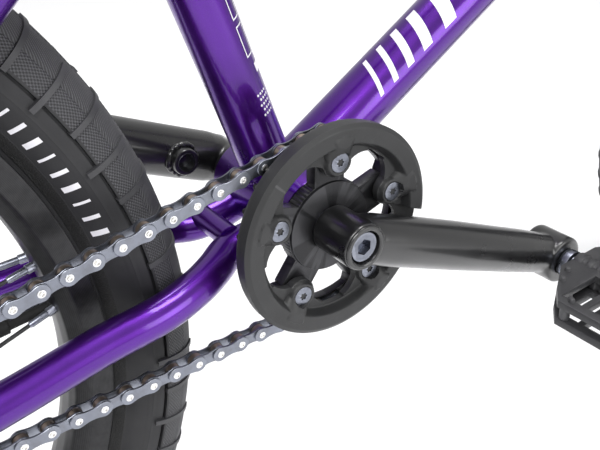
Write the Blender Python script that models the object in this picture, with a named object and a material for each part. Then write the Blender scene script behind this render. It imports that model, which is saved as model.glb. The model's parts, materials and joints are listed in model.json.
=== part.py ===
"""BMX bicycle: an assembly of separate solids in one frame.

Row frame: +X forward, +Y to the rider's left, +Z up. The origin is on the ground,
midway between the two wheel axles. The chain runs on the right, the -Y side.
All lengths are metres; MM turns millimetres into metres.
"""
import math

import bmesh
import bpy
from mathutils import Vector

MM = 0.001
GAP = 0.3 * MM                      # clearance between pieces that touch

# Wheels
TYRE_RADIUS = 257.7 * MM
TYRE_HALF_WIDTH = 28.0 * MM
WHEEL_SEGMENTS = 24
SPOKES_PER_SIDE = 18
SPOKE_RADIUS = 1.2 * MM
RIM_FLANGE_RADIUS = 209.7 * MM
RIM_HALF_WIDTH = 18.0 * MM
WHEELBASE = 930.0 * MM

# Drive train
CHAIN_PITCH = 12.7 * MM
SPROCKET_TEETH = 25
COG_TEETH = 9
CHAIN_LINKS = 69
CHAIN_PHASE = 2.3 * MM              # first pin behind the upper tangent point
CHAIN_PLANE_Y = -40.7 * MM
CHAIN_HALF_WIDTH = 4.3 * MM
CHAIN_INNER_HALF_WIDTH = 1.7 * MM
CHAIN_HALF_HEIGHT = 4.15 * MM
ROLLER_RADIUS = 3.875 * MM
TOOTH_HALF_WIDTH = 1.35 * MM
CHAIN_LINE_RISE = math.radians(6.2)  # axle-to-axle line above the horizontal
BB_SHELL_RADIUS = 23.0 * MM
BB_SHELL_HALF_WIDTH = 34.0 * MM
SPINDLE_RADIUS = 11.0 * MM
CRANK_LENGTH = 175.0 * MM
CRANK_ANGLE = math.radians(-22.5)   # right arm, above the horizontal at the front
CRANK_BOSS_INNER_Y = 46.9 * MM
CRANK_BOSS_OUTER_Y = 75.3 * MM
CRANK_BOSS_RADIUS = 12.8 * MM
CRANK_BOSS_BORE = 9.0 * MM          # open outer end of the boss, around the spindle bolt
CRANK_BOLT_DEPTH = 8.8 * MM         # depth of that open end
PEDAL_BOSS_RADIUS = 15.6 * MM
PEDAL_THREAD_RADIUS = 7.3 * MM
EDGE_BREAK = 1.0 * MM               # chamfer on the turned bosses
PEDAL_BOSS_INNER_Y = 58.0 * MM
PEDAL_BOSS_OUTER_Y = 84.0 * MM
GUARD_RADIUS = 60.7 * MM
GUARD_BOLT_CIRCLE = 38.6 * MM
GUARD_FIRST_BOLT = math.radians(88.7)
GUARD_ARMS = 5

# Frame tubes
SEAT_TUBE_ANGLE = math.radians(70.7)
SEAT_TUBE_RADIUS = 14.3 * MM
SEAT_TUBE_BORE = 13.0 * MM
SEAT_TUBE_TOP = 222.0 * MM          # along the tube from the bottom bracket axis
DOWN_TUBE_ANGLE = math.radians(31.8)
DOWN_TUBE_OFFSET = 3.9 * MM
DOWN_TUBE_RADIUS = 17.0 * MM
TOP_TUBE_RADIUS = 15.9 * MM
TUBE_WALL = 1.2 * MM
TOP_TUBE_REAR = 190.0 * MM          # along the seat tube from the bottom bracket axis
TOP_TUBE_DROP = 27.0 * MM           # below the upper end of the head tube
BEARING_BORE_STEP = 19.0 * MM       # inner radius of the shell between its bearing seats
CHAINSTAY_RADIUS = 9.5 * MM
SEATSTAY_RADIUS = 8.0 * MM
REAR_HALF_SPACING = 55.0 * MM       # hub face to centre plane
DROPOUT_THICKNESS = 6.0 * MM
REAR_AXLE_RADIUS = 7.0 * MM

# Steering
HEAD_ANGLE = math.radians(75.0)
FORK_OFFSET = 30.0 * MM
HEAD_TUBE_RADIUS = 22.0 * MM
HEAD_TUBE_START = 321.0 * MM        # distances along the steering axis, from the foot of
HEAD_TUBE_END = 439.0 * MM          # the perpendicular through the front axle
STEERER_RADIUS = 14.3 * MM
FRONT_HALF_SPACING = 50.0 * MM
FRONT_AXLE_RADIUS = 5.0 * MM
STEM_REACH = 50.0 * MM
STEM_CENTRE = 467.0 * MM
BAR_RADIUS = 11.1 * MM
BAR_HALF_WIDTH = 368.0 * MM
BAR_RISE = 229.0 * MM
BAR_SWEEP = 26.0 * MM
GRIP_LENGTH = 142.0 * MM
GRIP_RADIUS = 15.5 * MM

# Seat
SEAT_POST_RADIUS = 12.7 * MM
SEAT_PIVOT = 288.0 * MM             # along the seat tube from the bottom bracket axis
SEAT_LENGTH = 262.0 * MM
SEAT_WIDTH = 138.0 * MM
SEAT_NOSE_UP = math.radians(9.0)


# ---------------------------------------------------------------- places
def pitch_radius(teeth):
    """Radius of the circle that the chain's pins follow on a sprocket."""
    return CHAIN_PITCH / (2.0 * math.sin(math.pi / teeth))


SPROCKET_PITCH_RADIUS = pitch_radius(SPROCKET_TEETH)
COG_PITCH_RADIUS = pitch_radius(COG_TEETH)


def chain_lap(centre_distance):
    """Number of chain pitches in a tight loop around both sprockets."""
    taper = math.asin((SPROCKET_PITCH_RADIUS - COG_PITCH_RADIUS) / centre_distance)
    straights = 2.0 * centre_distance * math.cos(taper) / CHAIN_PITCH
    front = SPROCKET_TEETH * (math.pi + 2.0 * taper) / (2.0 * math.pi)
    rear = COG_TEETH * (math.pi - 2.0 * taper) / (2.0 * math.pi)
    return straights + front + rear


def chainstay_length():
    """Axle distance at which the chain closes tight with a whole number of links."""
    low, high = 0.25, 0.40
    for _ in range(60):
        middle = 0.5 * (low + high)
        if chain_lap(middle) < CHAIN_LINKS:
            low = middle
        else:
            high = middle
    return low


CHAINSTAY_LENGTH = chainstay_length()
REAR_AXLE = Vector((-WHEELBASE / 2.0, 0.0, TYRE_RADIUS))
FRONT_AXLE = Vector((WHEELBASE / 2.0, 0.0, TYRE_RADIUS))
BB = REAR_AXLE + CHAINSTAY_LENGTH * Vector((math.cos(CHAIN_LINE_RISE), 0.0, math.sin(CHAIN_LINE_RISE)))

STEER_UP = Vector((-math.cos(HEAD_ANGLE), 0.0, math.sin(HEAD_ANGLE)))
STEER_FORWARD = Vector((math.sin(HEAD_ANGLE), 0.0, math.cos(HEAD_ANGLE)))
STEER_FOOT = FRONT_AXLE - FORK_OFFSET * STEER_FORWARD
LEFT = Vector((0.0, 1.0, 0.0))

SEAT_UP = Vector((-math.cos(SEAT_TUBE_ANGLE), 0.0, math.sin(SEAT_TUBE_ANGLE)))
DOWN_FORWARD = Vector((math.cos(DOWN_TUBE_ANGLE), 0.0, math.sin(DOWN_TUBE_ANGLE)))
DOWN_UP = Vector((-math.sin(DOWN_TUBE_ANGLE), 0.0, math.cos(DOWN_TUBE_ANGLE)))
CRANK_DIRECTION = Vector((math.cos(CRANK_ANGLE), 0.0, math.sin(CRANK_ANGLE)))
SEAT_PIVOT_POINT = BB + SEAT_PIVOT * SEAT_UP


def steer(along, forward=0.0, left=0.0):
    """Point in the steering frame: along the axis, forward of it, to the left."""
    return STEER_FOOT + along * STEER_UP + forward * STEER_FORWARD + left * LEFT


# ---------------------------------------------------------------- materials
COLOURS = {
    "purple_paint": ((0.115, 0.012, 0.30), 0.30, 0.55),
    "black_paint": ((0.012, 0.012, 0.013), 0.22, 0.30),
    "black_alloy": ((0.020, 0.020, 0.022), 0.35, 0.60),
    "black_nylon": ((0.020, 0.020, 0.021), 0.55, 0.0),
    "steel": ((0.45, 0.45, 0.47), 0.32, 1.0),
    "dark_steel": ((0.16, 0.17, 0.19), 0.38, 1.0),
    "tyre_rubber": ((0.016, 0.016, 0.017), 0.80, 0.0),
    "grip_rubber": ((0.015, 0.015, 0.015), 0.75, 0.0),
    "seat_fabric": ((0.014, 0.014, 0.015), 0.85, 0.0),
    "black_plastic": ((0.022, 0.022, 0.023), 0.60, 0.0),
}


def material(name):
    """Principled material from the colour table."""
    found = bpy.data.materials.get(name)
    if found:
        return found
    colour, roughness, metallic = COLOURS[name]
    made = bpy.data.materials.new(name)
    made.use_nodes = True
    shader = made.node_tree.nodes["Principled BSDF"]
    shader.inputs["Base Color"].default_value = (*colour, 1.0)
    shader.inputs["Roughness"].default_value = roughness
    shader.inputs["Metallic"].default_value = metallic
    return made


# ---------------------------------------------------------------- mesh tools
def clear_scene():
    """Start from an empty scene."""
    for thing in list(bpy.data.objects):
        bpy.data.objects.remove(thing)


def empty(name, place, parent=None):
    """Empty that carries a moving body, on its joint's axis."""
    thing = bpy.data.objects.new(name, None)
    thing.empty_display_size = 0.03
    bpy.context.scene.collection.objects.link(thing)
    thing.parent = parent
    thing.location = place - (absolute(parent) if parent else Vector())
    return thing


def absolute(thing):
    """World position of an empty, from its own location and its parents'."""
    place = Vector()
    while thing:
        place += thing.location
        thing = thing.parent
    return place


def piece(name, bm, finish, body=None):
    """Turn world-space geometry into a named, smooth-shaded object on a body."""
    bmesh.ops.recalc_face_normals(bm, faces=bm.faces)
    if body:
        bmesh.ops.translate(bm, verts=bm.verts, vec=-absolute(body))
    mesh = bpy.data.meshes.new(name)
    bm.to_mesh(mesh)
    bm.free()
    mesh.materials.append(material(finish))
    mesh.shade_smooth()
    mesh.set_sharp_from_angle(angle=math.radians(40.0))
    thing = bpy.data.objects.new(name, mesh)
    bpy.context.scene.collection.objects.link(thing)
    thing.parent = body
    return thing


def cutter(name, bm):
    """Guide solid that only cuts others."""
    thing = piece(name, bm, "steel")
    thing.hide_render = True
    thing.display_type = "WIRE"
    return thing


def boolean(thing, other, operation="DIFFERENCE"):
    """Cut or join one object with another, exactly."""
    step = thing.modifiers.new(other.name, "BOOLEAN")
    step.operation = operation
    step.solver = "EXACT"
    step.object = other


def side_axes(direction):
    """Two axes square to a direction; the first lies across the bike if it can."""
    across = LEFT if abs(direction.dot(LEFT)) < 0.95 else Vector((0.0, 0.0, 1.0))
    second = direction.cross(across).normalized()
    first = second.cross(direction).normalized()
    return first, second


def loop_faces(bm, first, second):
    """Quads between two rings of the same length."""
    count = len(first)
    for i in range(count):
        j = (i + 1) % count
        bm.faces.new((first[i], first[j], second[j], second[i]))


def path_rings(bm, points, radii, segments):
    """One ring of vertices around each point of a path, with no twist."""
    count = len(points)
    tangents = []
    for i in range(count):
        before = points[max(i - 1, 0)]
        after = points[min(i + 1, count - 1)]
        tangents.append((after - before).normalized())
    first, _ = side_axes(tangents[0])
    rings = []
    for centre, tangent, radius in zip(points, tangents, radii):
        first = (first - tangent * first.dot(tangent)).normalized()
        second = tangent.cross(first)
        ring = []
        for k in range(segments):
            turn = 2.0 * math.pi * (k + 0.5) / segments
            spot = centre + radius * (math.cos(turn) * first + math.sin(turn) * second)
            ring.append(bm.verts.new(spot))
        rings.append(ring)
    return rings


def as_list(value, count):
    """A single radius repeated, or the list as it is."""
    return list(value) if isinstance(value, (list, tuple)) else [value] * count


def add_rod(bm, points, radius, segments=16):
    """Solid round rod along a path."""
    rings = path_rings(bm, points, as_list(radius, len(points)), segments)
    for a, b in zip(rings, rings[1:]):
        loop_faces(bm, a, b)
    bm.faces.new(rings[0])
    bm.faces.new(rings[-1])


def rod(points, radius, segments=16):
    """New mesh holding one solid rod."""
    bm = bmesh.new()
    add_rod(bm, points, radius, segments)
    return bm


def tube(points, radius, wall=TUBE_WALL, segments=16):
    """New mesh holding one tube that is open at both ends."""
    bm = bmesh.new()
    outside = as_list(radius, len(points))
    inside = [r - wall for r in outside]
    outer = path_rings(bm, points, outside, segments)
    inner = path_rings(bm, points, inside, segments)
    for rings in (outer, inner):
        for a, b in zip(rings, rings[1:]):
            loop_faces(bm, a, b)
    loop_faces(bm, outer[0], inner[0])
    loop_faces(bm, outer[-1], inner[-1])
    return bm


def turned(profile, origin, axis=LEFT, segments=24, closed=True, phase=0.5):
    """Solid of revolution; profile points are (distance along the axis, radius)."""
    bm = bmesh.new()
    first, second = side_axes(axis)
    rings = []
    for along, radius in profile:
        centre = origin + along * axis
        ring = []
        for k in range(segments):
            turn = 2.0 * math.pi * (k + phase) / segments
            ring.append(bm.verts.new(centre + radius * (math.cos(turn) * first + math.sin(turn) * second)))
        rings.append(ring)
    for a, b in zip(rings, rings[1:]):
        loop_faces(bm, a, b)
    if closed:
        loop_faces(bm, rings[-1], rings[0])
    else:
        bm.faces.new(rings[0])
        bm.faces.new(rings[-1])
    return bm


def collar(start, end, inner, outer):
    """Profile of a plain ring: from start to end along the axis."""
    return [(start, inner), (start, outer), (end, outer), (end, inner)]


def prism(outline, low, high):
    """Solid between two levels of Y from an outline of (x, z) points."""
    bm = bmesh.new()
    near = [bm.verts.new((x, low, z)) for x, z in outline]
    far = [bm.verts.new((x, high, z)) for x, z in outline]
    loop_faces(bm, near, far)
    bm.faces.new(near)
    bm.faces.new(far)
    return bm


def block(centre, axes, sizes):
    """Box with its own axes; sizes are full lengths along them."""
    bm = bmesh.new()
    corners = []
    for a in (-0.5, 0.5):
        for b in (-0.5, 0.5):
            for c in (-0.5, 0.5):
                spot = centre.copy()
                for share, axis, size in zip((a, b, c), axes, sizes):
                    spot += share * size * axis
                corners.append(bm.verts.new(spot))
    for face in ((0, 1, 3, 2), (4, 6, 7, 5), (0, 4, 5, 1), (2, 3, 7, 6), (0, 2, 6, 4), (1, 5, 7, 3)):
        bm.faces.new([corners[i] for i in face])
    return bm


def plug(centre, start, end, radius, segments):
    """Plain round solid between two levels of Y."""
    return turned([(start, radius), (end, radius)], centre, closed=False, segments=segments)


def arc(centre, radius, start, end, steps):
    """Points on an arc in the XZ plane, angles from +X towards +Z."""
    spots = []
    for k in range(steps + 1):
        turn = start + (end - start) * k / steps
        spots.append((centre[0] + radius * math.cos(turn), centre[1] + radius * math.sin(turn)))
    return spots


def mirrored(points, side):
    """The same path on the left (+1) or right (-1) side."""
    return [Vector((p.x, side * p.y, p.z)) for p in points]


# ---------------------------------------------------------------- frame
def chainstay_path(side):
    """Centre line of a chainstay, from inside the shell to the dropout."""
    stay = [(-8.0, 20.0, -5.0), (-46.0, 20.0, -11.0), (-60.0, 27.0, -12.5), (-76.0, 34.5, -14.2),
            (-98.0, 39.8, -16.5), (-130.0, 41.2, -19.5), (-176.0, 45.3, -24.6), (-240.0, 51.0, -29.5),
            (-302.0, 57.3, -35.5)]
    points = [BB + MM * Vector(p) for p in stay]
    return mirrored(points, side)


def seatstay_path(side):
    """Centre line of a seatstay, from inside the seat tube to the dropout."""
    stay = [(-70.0, 10.5, 178.0), (-88.0, 22.0, 173.0), (-112.0, 33.0, 161.0), (-142.0, 38.0, 138.0),
            (-220.0, 47.2, 66.2), (-306.0, 57.4, -13.0)]
    points = [BB + MM * Vector(p) for p in stay]
    return mirrored(points, side)


def seat_tube_line(start, end):
    """Centre line of the seat tube between two distances from the bottom bracket axis."""
    return [BB + start * SEAT_UP, BB + end * SEAT_UP]


def down_tube_line():
    """Centre line of the down tube, from inside the shell to the steering axis."""
    base = BB + DOWN_TUBE_OFFSET * DOWN_UP
    length = (STEER_FOOT - base).dot(STEER_FORWARD) / DOWN_FORWARD.dot(STEER_FORWARD)
    return [base + 12.0 * MM * DOWN_FORWARD, base + length * DOWN_FORWARD]


def top_tube_line():
    return [BB + TOP_TUBE_REAR * SEAT_UP, steer(HEAD_TUBE_END - TOP_TUBE_DROP)]


def shell_cutter():
    """Round solid that leaves the gap around the bottom bracket shell."""
    profile = [(-60.0 * MM, BB_SHELL_RADIUS + GAP), (60.0 * MM, BB_SHELL_RADIUS + GAP)]
    return cutter("cut_shell", turned(profile, BB, closed=False, segments=24))


def seat_tube_cutter():
    """Round solid that leaves the gap around the seat tube."""
    return cutter("cut_seat_tube", rod(seat_tube_line(0.0, 0.26), SEAT_TUBE_RADIUS + GAP, 20))


def head_tube_cutter():
    """Round solid that leaves the gap around the head tube."""
    line = [steer(HEAD_TUBE_START - 0.03), steer(HEAD_TUBE_END + 0.03)]
    return cutter("cut_head_tube", rod(line, HEAD_TUBE_RADIUS + GAP, 24))


def make_bottom_bracket():
    """Shell with a press seat for a bearing in each end, and the two bearings."""
    half = BB_SHELL_HALF_WIDTH
    seat_depth = 11.0 * MM
    seat_radius = 20.6 * MM
    profile = [(-half, BB_SHELL_RADIUS), (half, BB_SHELL_RADIUS), (half, seat_radius),
               (half - seat_depth, seat_radius), (half - seat_depth, BEARING_BORE_STEP),
               (seat_depth - half, BEARING_BORE_STEP), (seat_depth - half, seat_radius),
               (-half, seat_radius)]
    piece("bottom_bracket_shell", turned(profile, BB, segments=20), "purple_paint")
    for side, name in ((-1, "bb_bearing_right"), (1, "bb_bearing_left")):
        outer_end = side * (half + 2.0 * MM)
        inner_end = side * (half - seat_depth + GAP)
        ring = collar(outer_end, inner_end, SPINDLE_RADIUS + GAP, seat_radius - GAP)
        piece(name, turned(ring, BB, segments=16), "dark_steel")


def make_seat_tube(shell):
    line = seat_tube_line(12.0 * MM, SEAT_TUBE_TOP)
    wall = SEAT_TUBE_RADIUS - SEAT_TUBE_BORE
    thing = piece("seat_tube", tube(line, SEAT_TUBE_RADIUS, wall, 20), "purple_paint")
    boolean(thing, shell)


def make_down_tube(shell, seat_cut, head_cut):
    thing = piece("down_tube", tube(down_tube_line(), DOWN_TUBE_RADIUS, segments=20), "purple_paint")
    boolean(thing, shell)
    boolean(thing, seat_cut)
    boolean(thing, head_cut)


def make_top_tube(seat_cut, head_cut):
    thing = piece("top_tube", tube(top_tube_line(), TOP_TUBE_RADIUS, segments=18), "purple_paint")
    boolean(thing, seat_cut)
    boolean(thing, head_cut)


def make_head_tube():
    """Head tube with a bearing seat at each end, and the two bearings."""
    length = HEAD_TUBE_END - HEAD_TUBE_START
    seat_depth = 7.2 * MM
    seat_radius = 20.9 * MM
    waist = 18.0 * MM
    profile = [(0.0, HEAD_TUBE_RADIUS), (length, HEAD_TUBE_RADIUS), (length, seat_radius),
               (length - seat_depth, seat_radius), (length - seat_depth, waist),
               (seat_depth, waist), (seat_depth, seat_radius), (0.0, seat_radius)]
    base = steer(HEAD_TUBE_START)
    piece("head_tube", turned(profile, base, STEER_UP, 20), "purple_paint")
    inner, outer = STEERER_RADIUS + 0.5 * MM, seat_radius - GAP
    lower = collar(0.3 * MM, seat_depth - GAP, inner, outer)
    upper = collar(length - 0.3 * MM, length - seat_depth + GAP, inner, outer)
    piece("headset_bearing_lower", turned(lower, base, STEER_UP, 16), "dark_steel")
    piece("headset_bearing_upper", turned(upper, base, STEER_UP, 16), "dark_steel")


def dropout_slot(side, name, path):
    """Box around the end of a stay where the dropout plate's tab slides in."""
    tip, before = path[-1], path[-2]
    along = (tip - before).normalized()
    flat = Vector((along.x, 0.0, along.z)).normalized()
    up = flat.cross(LEFT)
    middle = side * (REAR_HALF_SPACING + 0.5 * DROPOUT_THICKNESS)
    centre = Vector((tip.x, middle, tip.z))
    sizes = (28.0 * MM, DROPOUT_THICKNESS + 2.0 * GAP, 40.0 * MM)
    return cutter(name, block(centre, (flat, LEFT, up), sizes))


def make_stays(shell, seat_cut):
    """Both chainstays and both seatstays, slotted over the dropouts."""
    for side, word in ((-1, "right"), (1, "left")):
        path = chainstay_path(side)
        radii = [CHAINSTAY_RADIUS] * (len(path) - 2) + [8.8 * MM, 8.0 * MM]
        lower = piece("chainstay_" + word, rod(path, radii, 14), "purple_paint")
        boolean(lower, shell)
        boolean(lower, dropout_slot(side, "cut_chainstay_" + word, path))
        path = seatstay_path(side)
        upper = piece("seatstay_" + word, rod(path, SEATSTAY_RADIUS, 12), "purple_paint")
        boolean(upper, seat_cut)
        boolean(upper, dropout_slot(side, "cut_seatstay_" + word, path))


def make_bridges():
    """Short cross tubes between the chainstays and between the seatstays."""
    lower, upper = MM * Vector((-43.0, 0.0, -5.0)), MM * Vector((-112.0, 0.0, 161.0))
    places = {"chainstay_bridge": (lower, 6.5 * MM, chainstay_path, CHAINSTAY_RADIUS),
              "seatstay_bridge": (upper, 6.0 * MM, seatstay_path, SEATSTAY_RADIUS)}
    half = 34.0 * MM
    for name, (offset, radius, path, stay_radius) in places.items():
        line = [BB + offset - half * LEFT, BB + offset + half * LEFT]
        thing = piece(name, rod(line, radius, 14), "purple_paint")
        for side, word in ((-1, "right"), (1, "left")):
            route = path(side)
            keep = cutter("cut_" + name + "_" + word, rod(route, stay_radius + GAP, 14))
            boolean(thing, keep)
            end = line[1] if side > 0 else line[0]
            rest = block(end + side * 12.0 * MM * LEFT, (Vector((1, 0, 0)), LEFT, Vector((0, 0, 1))),
                         (0.05, 24.5 * MM, 0.05))
            boolean(thing, cutter("trim_" + name + "_" + word, rest))


def dropout_outline():
    """Plate outline around the axle, open to the rear, with two tabs for the stays."""
    cx, cz = REAR_AXLE.x, REAR_AXLE.z
    slot = REAR_AXLE_RADIUS + GAP
    outline = []
    outline += [(cx - 24.0 * MM, cz - slot), (cx, cz - slot)]
    outline += arc((cx, cz), slot, -0.5 * math.pi, 0.5 * math.pi, 8)[1:-1]
    outline += [(cx, cz + slot), (cx - 24.0 * MM, cz + slot)]
    outline += [(cx - 21.0 * MM, cz + 15.0 * MM), (cx - 6.0 * MM, cz + 19.0 * MM)]
    outline += [(cx + 14.0 * MM, cz + 25.0 * MM), (cx + 21.5 * MM, cz + 17.5 * MM)]
    outline += [(cx + 22.0 * MM, cz + 8.0 * MM), (cx + 32.0 * MM, cz + 6.5 * MM)]
    outline += [(cx + 32.0 * MM, cz - 5.5 * MM), (cx + 17.0 * MM, cz - 13.5 * MM)]
    outline += [(cx, cz - 17.0 * MM), (cx - 20.0 * MM, cz - 15.0 * MM)]
    return outline


def make_dropouts():
    """Rear axle plates, one at the end of each pair of stays."""
    for side, word in ((-1, "right"), (1, "left")):
        inner = side * REAR_HALF_SPACING
        outer = side * (REAR_HALF_SPACING + DROPOUT_THICKNESS)
        piece("dropout_" + word, prism(dropout_outline(), inner, outer), "purple_paint")


def make_seat_clamp():
    """Split ring on the top of the seat tube, with its pinch bolt ears."""
    base = BB + (SEAT_TUBE_TOP - 15.0 * MM) * SEAT_UP
    ring = collar(0.0, 14.0 * MM, SEAT_TUBE_RADIUS + GAP, SEAT_TUBE_RADIUS + 4.2 * MM)
    thing = piece("seat_clamp", turned(ring, base, SEAT_UP, 20), "black_alloy")
    back = SEAT_UP.cross(LEFT)
    back = back if back.x < 0 else -back
    centre = base + 7.0 * MM * SEAT_UP + (SEAT_TUBE_RADIUS + 6.2 * MM) * back
    axes = (back, LEFT, SEAT_UP)
    ears = block(centre, axes, (9.0 * MM, 18.0 * MM, 11.0 * MM))
    split = block(centre, axes, (18.0 * MM, 1.6 * MM, 20.0 * MM))
    boolean(thing, cutter("join_clamp_ears", ears), "UNION")
    boolean(thing, cutter("cut_clamp_split", split))


# ---------------------------------------------------------------- wheels
def tyre_profile():
    """Section of the tyre: outside from bead to bead, then back along the inside."""
    top, half = TYRE_RADIUS, TYRE_HALF_WIDTH
    outside = [(15.4 * MM, 203.0 * MM), (15.6 * MM, 211.5 * MM), (half, 229.0 * MM),
               (24.6 * MM, 246.5 * MM), (12.0 * MM, top - 2.0 * MM)]
    inside = [(11.0 * MM, 251.5 * MM), (24.4 * MM, 231.0 * MM), (11.8 * MM, 203.0 * MM)]
    right = [(-y, r) for y, r in outside]
    left = [(y, r) for y, r in reversed(outside)]
    inner = [(y, r) for y, r in reversed(inside)] + [(-y, r) for y, r in inside]
    return right + [(-3.5 * MM, top), (3.5 * MM, top)] + left + inner


def rim_profile():
    """Section of the rim: two flanges, the well between them, and the spoke bed."""
    flange, half = RIM_FLANGE_RADIUS, RIM_HALF_WIDTH
    right = [(-half, flange), (-16.1 * MM, flange), (-16.1 * MM, 201.0 * MM)]
    bed = [(half, 198.0 * MM), (11.0 * MM, 191.5 * MM), (-11.0 * MM, 191.5 * MM), (-half, 198.0 * MM)]
    return right + [(-y, r) for y, r in reversed(right)] + bed


def true_radius(profile):
    """Move the corners out so that the flats between them have the stated radius."""
    grow = 1.0 / math.cos(math.pi / WHEEL_SEGMENTS)
    return [(y, r * grow) for y, r in profile]


def spoke_bars(hub_radius, hub_y, rim_radius, rim_y, centre, lean, start):
    """Every second spoke of one flange, all leaning the same way, as three-sided bars."""
    bm = bmesh.new()
    count = SPOKES_PER_SIDE // 2
    for k in range(count):
        hub_turn = start + 2.0 * math.pi * k / count
        rim_turn = hub_turn + lean
        low = centre + Vector((hub_radius * math.cos(hub_turn), hub_y, hub_radius * math.sin(hub_turn)))
        high = centre + Vector((rim_radius * math.cos(rim_turn), rim_y, rim_radius * math.sin(rim_turn)))
        add_rod(bm, [low, high], SPOKE_RADIUS, 3)
    return bm


def make_spokes(name, centre, side, flange_y, flange_radius, body):
    """Crossed spokes of one flange, joined where they touch at their crossings."""
    lean = math.radians(46.0)
    inner, outer = flange_radius + 1.6 * MM, 189.6 * MM
    forward = spoke_bars(inner, side * flange_y, outer, side * 5.0 * MM, centre, lean, 0.0)
    back_start = 2.0 * math.pi / SPOKES_PER_SIDE
    weave = side * 0.5 * MM
    flange, rim = side * flange_y + weave, side * 5.0 * MM + weave
    backward = spoke_bars(inner, flange, outer, rim, centre, -lean, back_start)
    thing = piece(name, forward, "dark_steel", body)
    boolean(thing, cutter("join_" + name, backward), "UNION")


def make_wheel(prefix, centre, body, flange_y, flange_radius):
    """Tyre, rim and both sets of spokes of one wheel."""
    piece(prefix + "_tyre", turned(true_radius(tyre_profile()), centre, segments=WHEEL_SEGMENTS),
          "tyre_rubber", body)
    piece(prefix + "_rim", turned(true_radius(rim_profile()), centre, segments=WHEEL_SEGMENTS),
          "black_alloy", body)
    for side, word in ((-1, "right"), (1, "left")):
        make_spokes(prefix + "_spokes_" + word, centre, side, flange_y, flange_radius, body)


def hub_profile(half, bore, flange_y, flange_radius, waist):
    """Hub shell: two flanges on a waisted barrel, bored for the axle."""
    inner = flange_y - 3.2 * MM
    outside = [(half, 14.0 * MM), (flange_y, 16.0 * MM), (flange_y, flange_radius), (inner, flange_radius),
               (inner - 1.0 * MM, waist + 3.0 * MM), (inner - 10.0 * MM, waist)]
    right = [(-y, r) for y, r in outside]
    left = [(y, r) for y, r in reversed(outside)]
    return [(-half, bore)] + right + left + [(half, bore)]


def make_front_wheel(body):
    """Front hub and the wheel around it."""
    flange_y, flange_radius = 34.0 * MM, 28.0 * MM
    profile = hub_profile(46.0 * MM, FRONT_AXLE_RADIUS + GAP, flange_y, flange_radius, 13.5 * MM)
    piece("front_hub", turned(profile, FRONT_AXLE, segments=16), "black_alloy", body)
    make_wheel("front", FRONT_AXLE, body, flange_y, flange_radius)


def make_rear_wheel(body):
    """Rear hub and the wheel around it."""
    flange_y, flange_radius = 29.0 * MM, 31.0 * MM
    profile = hub_profile(35.0 * MM, REAR_AXLE_RADIUS + GAP, flange_y, flange_radius, 17.0 * MM)
    piece("rear_hub", turned(profile, REAR_AXLE, segments=16), "black_alloy", body)
    make_wheel("rear", REAR_AXLE, body, flange_y, flange_radius)


def axle_profile(radius, length, shoulder, shoulder_in, shoulder_out):
    """Plain shaft with a cone shoulder that rests on each dropout's inner face."""
    right = [(-length, radius), (-shoulder_out, radius), (-shoulder_out, shoulder),
             (-shoulder_in, shoulder), (-shoulder_in, radius)]
    return right + [(-y, r) for y, r in reversed(right)]


def make_axle(name, centre, radius, length, shoulder, shoulder_in, spacing, body=None):
    """Axle that is held still between its two dropouts."""
    profile = axle_profile(radius, length, shoulder, shoulder_in, spacing - GAP)
    piece(name, turned(profile, centre, closed=False, segments=14), "dark_steel", body)


def make_nuts(prefix, centre, axle_radius, width, inner_y, body=None):
    """Six-sided nut on each end of an axle."""
    to_corner = 1.0 / math.cos(math.pi / 6.0)
    bore = (axle_radius + GAP) * to_corner
    corner = 0.5 * width * to_corner
    for side, word in ((-1, "right"), (1, "left")):
        ring = collar(side * (inner_y + GAP), side * (inner_y + 12.0 * MM), bore, corner)
        piece(prefix + "_nut_" + word, turned(ring, centre, segments=6), "steel", body)


# ---------------------------------------------------------------- drive train
def tangent_taper():
    """Angle between each straight run of chain and the line of the two axles."""
    return math.asin((SPROCKET_PITCH_RADIUS - COG_PITCH_RADIUS) / CHAINSTAY_LENGTH)


def chain_run():
    """Places where the chain leaves and joins each sprocket, in pitches and angles."""
    taper = tangent_taper()
    straight = CHAINSTAY_LENGTH * math.cos(taper) / CHAIN_PITCH
    front_lap = SPROCKET_TEETH * (math.pi + 2.0 * taper) / (2.0 * math.pi)
    rear_lap = COG_TEETH * (math.pi - 2.0 * taper) / (2.0 * math.pi)
    return taper, straight, front_lap, rear_lap


def chain_point(pitches):
    """Place on the pin line, counted rearward from the upper tangent point."""
    taper, straight, front_lap, rear_lap = chain_run()
    pitches %= CHAIN_LINKS
    rise = CHAIN_LINE_RISE
    upper = rise + 0.5 * math.pi + taper
    lower = rise - 0.5 * math.pi - taper

    def on_circle(centre, radius, turn):
        spot = centre + radius * Vector((math.cos(turn), 0.0, math.sin(turn)))
        return Vector((spot.x, CHAIN_PLANE_Y, spot.z))

    if pitches < straight:
        start = on_circle(BB, SPROCKET_PITCH_RADIUS, upper)
        end = on_circle(REAR_AXLE, COG_PITCH_RADIUS, upper)
        return start.lerp(end, pitches / straight)
    pitches -= straight
    if pitches < rear_lap:
        return on_circle(REAR_AXLE, COG_PITCH_RADIUS, upper + 2.0 * math.pi * pitches / COG_TEETH)
    pitches -= rear_lap
    if pitches < straight:
        start = on_circle(REAR_AXLE, COG_PITCH_RADIUS, lower)
        end = on_circle(BB, SPROCKET_PITCH_RADIUS, lower)
        return start.lerp(end, pitches / straight)
    pitches -= straight
    return on_circle(BB, SPROCKET_PITCH_RADIUS, lower + 2.0 * math.pi * pitches / SPROCKET_TEETH)


def chain_pins():
    """Every pin of the loop, in order."""
    return [chain_point(CHAIN_PHASE / CHAIN_PITCH + k) for k in range(CHAIN_LINKS)]


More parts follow.
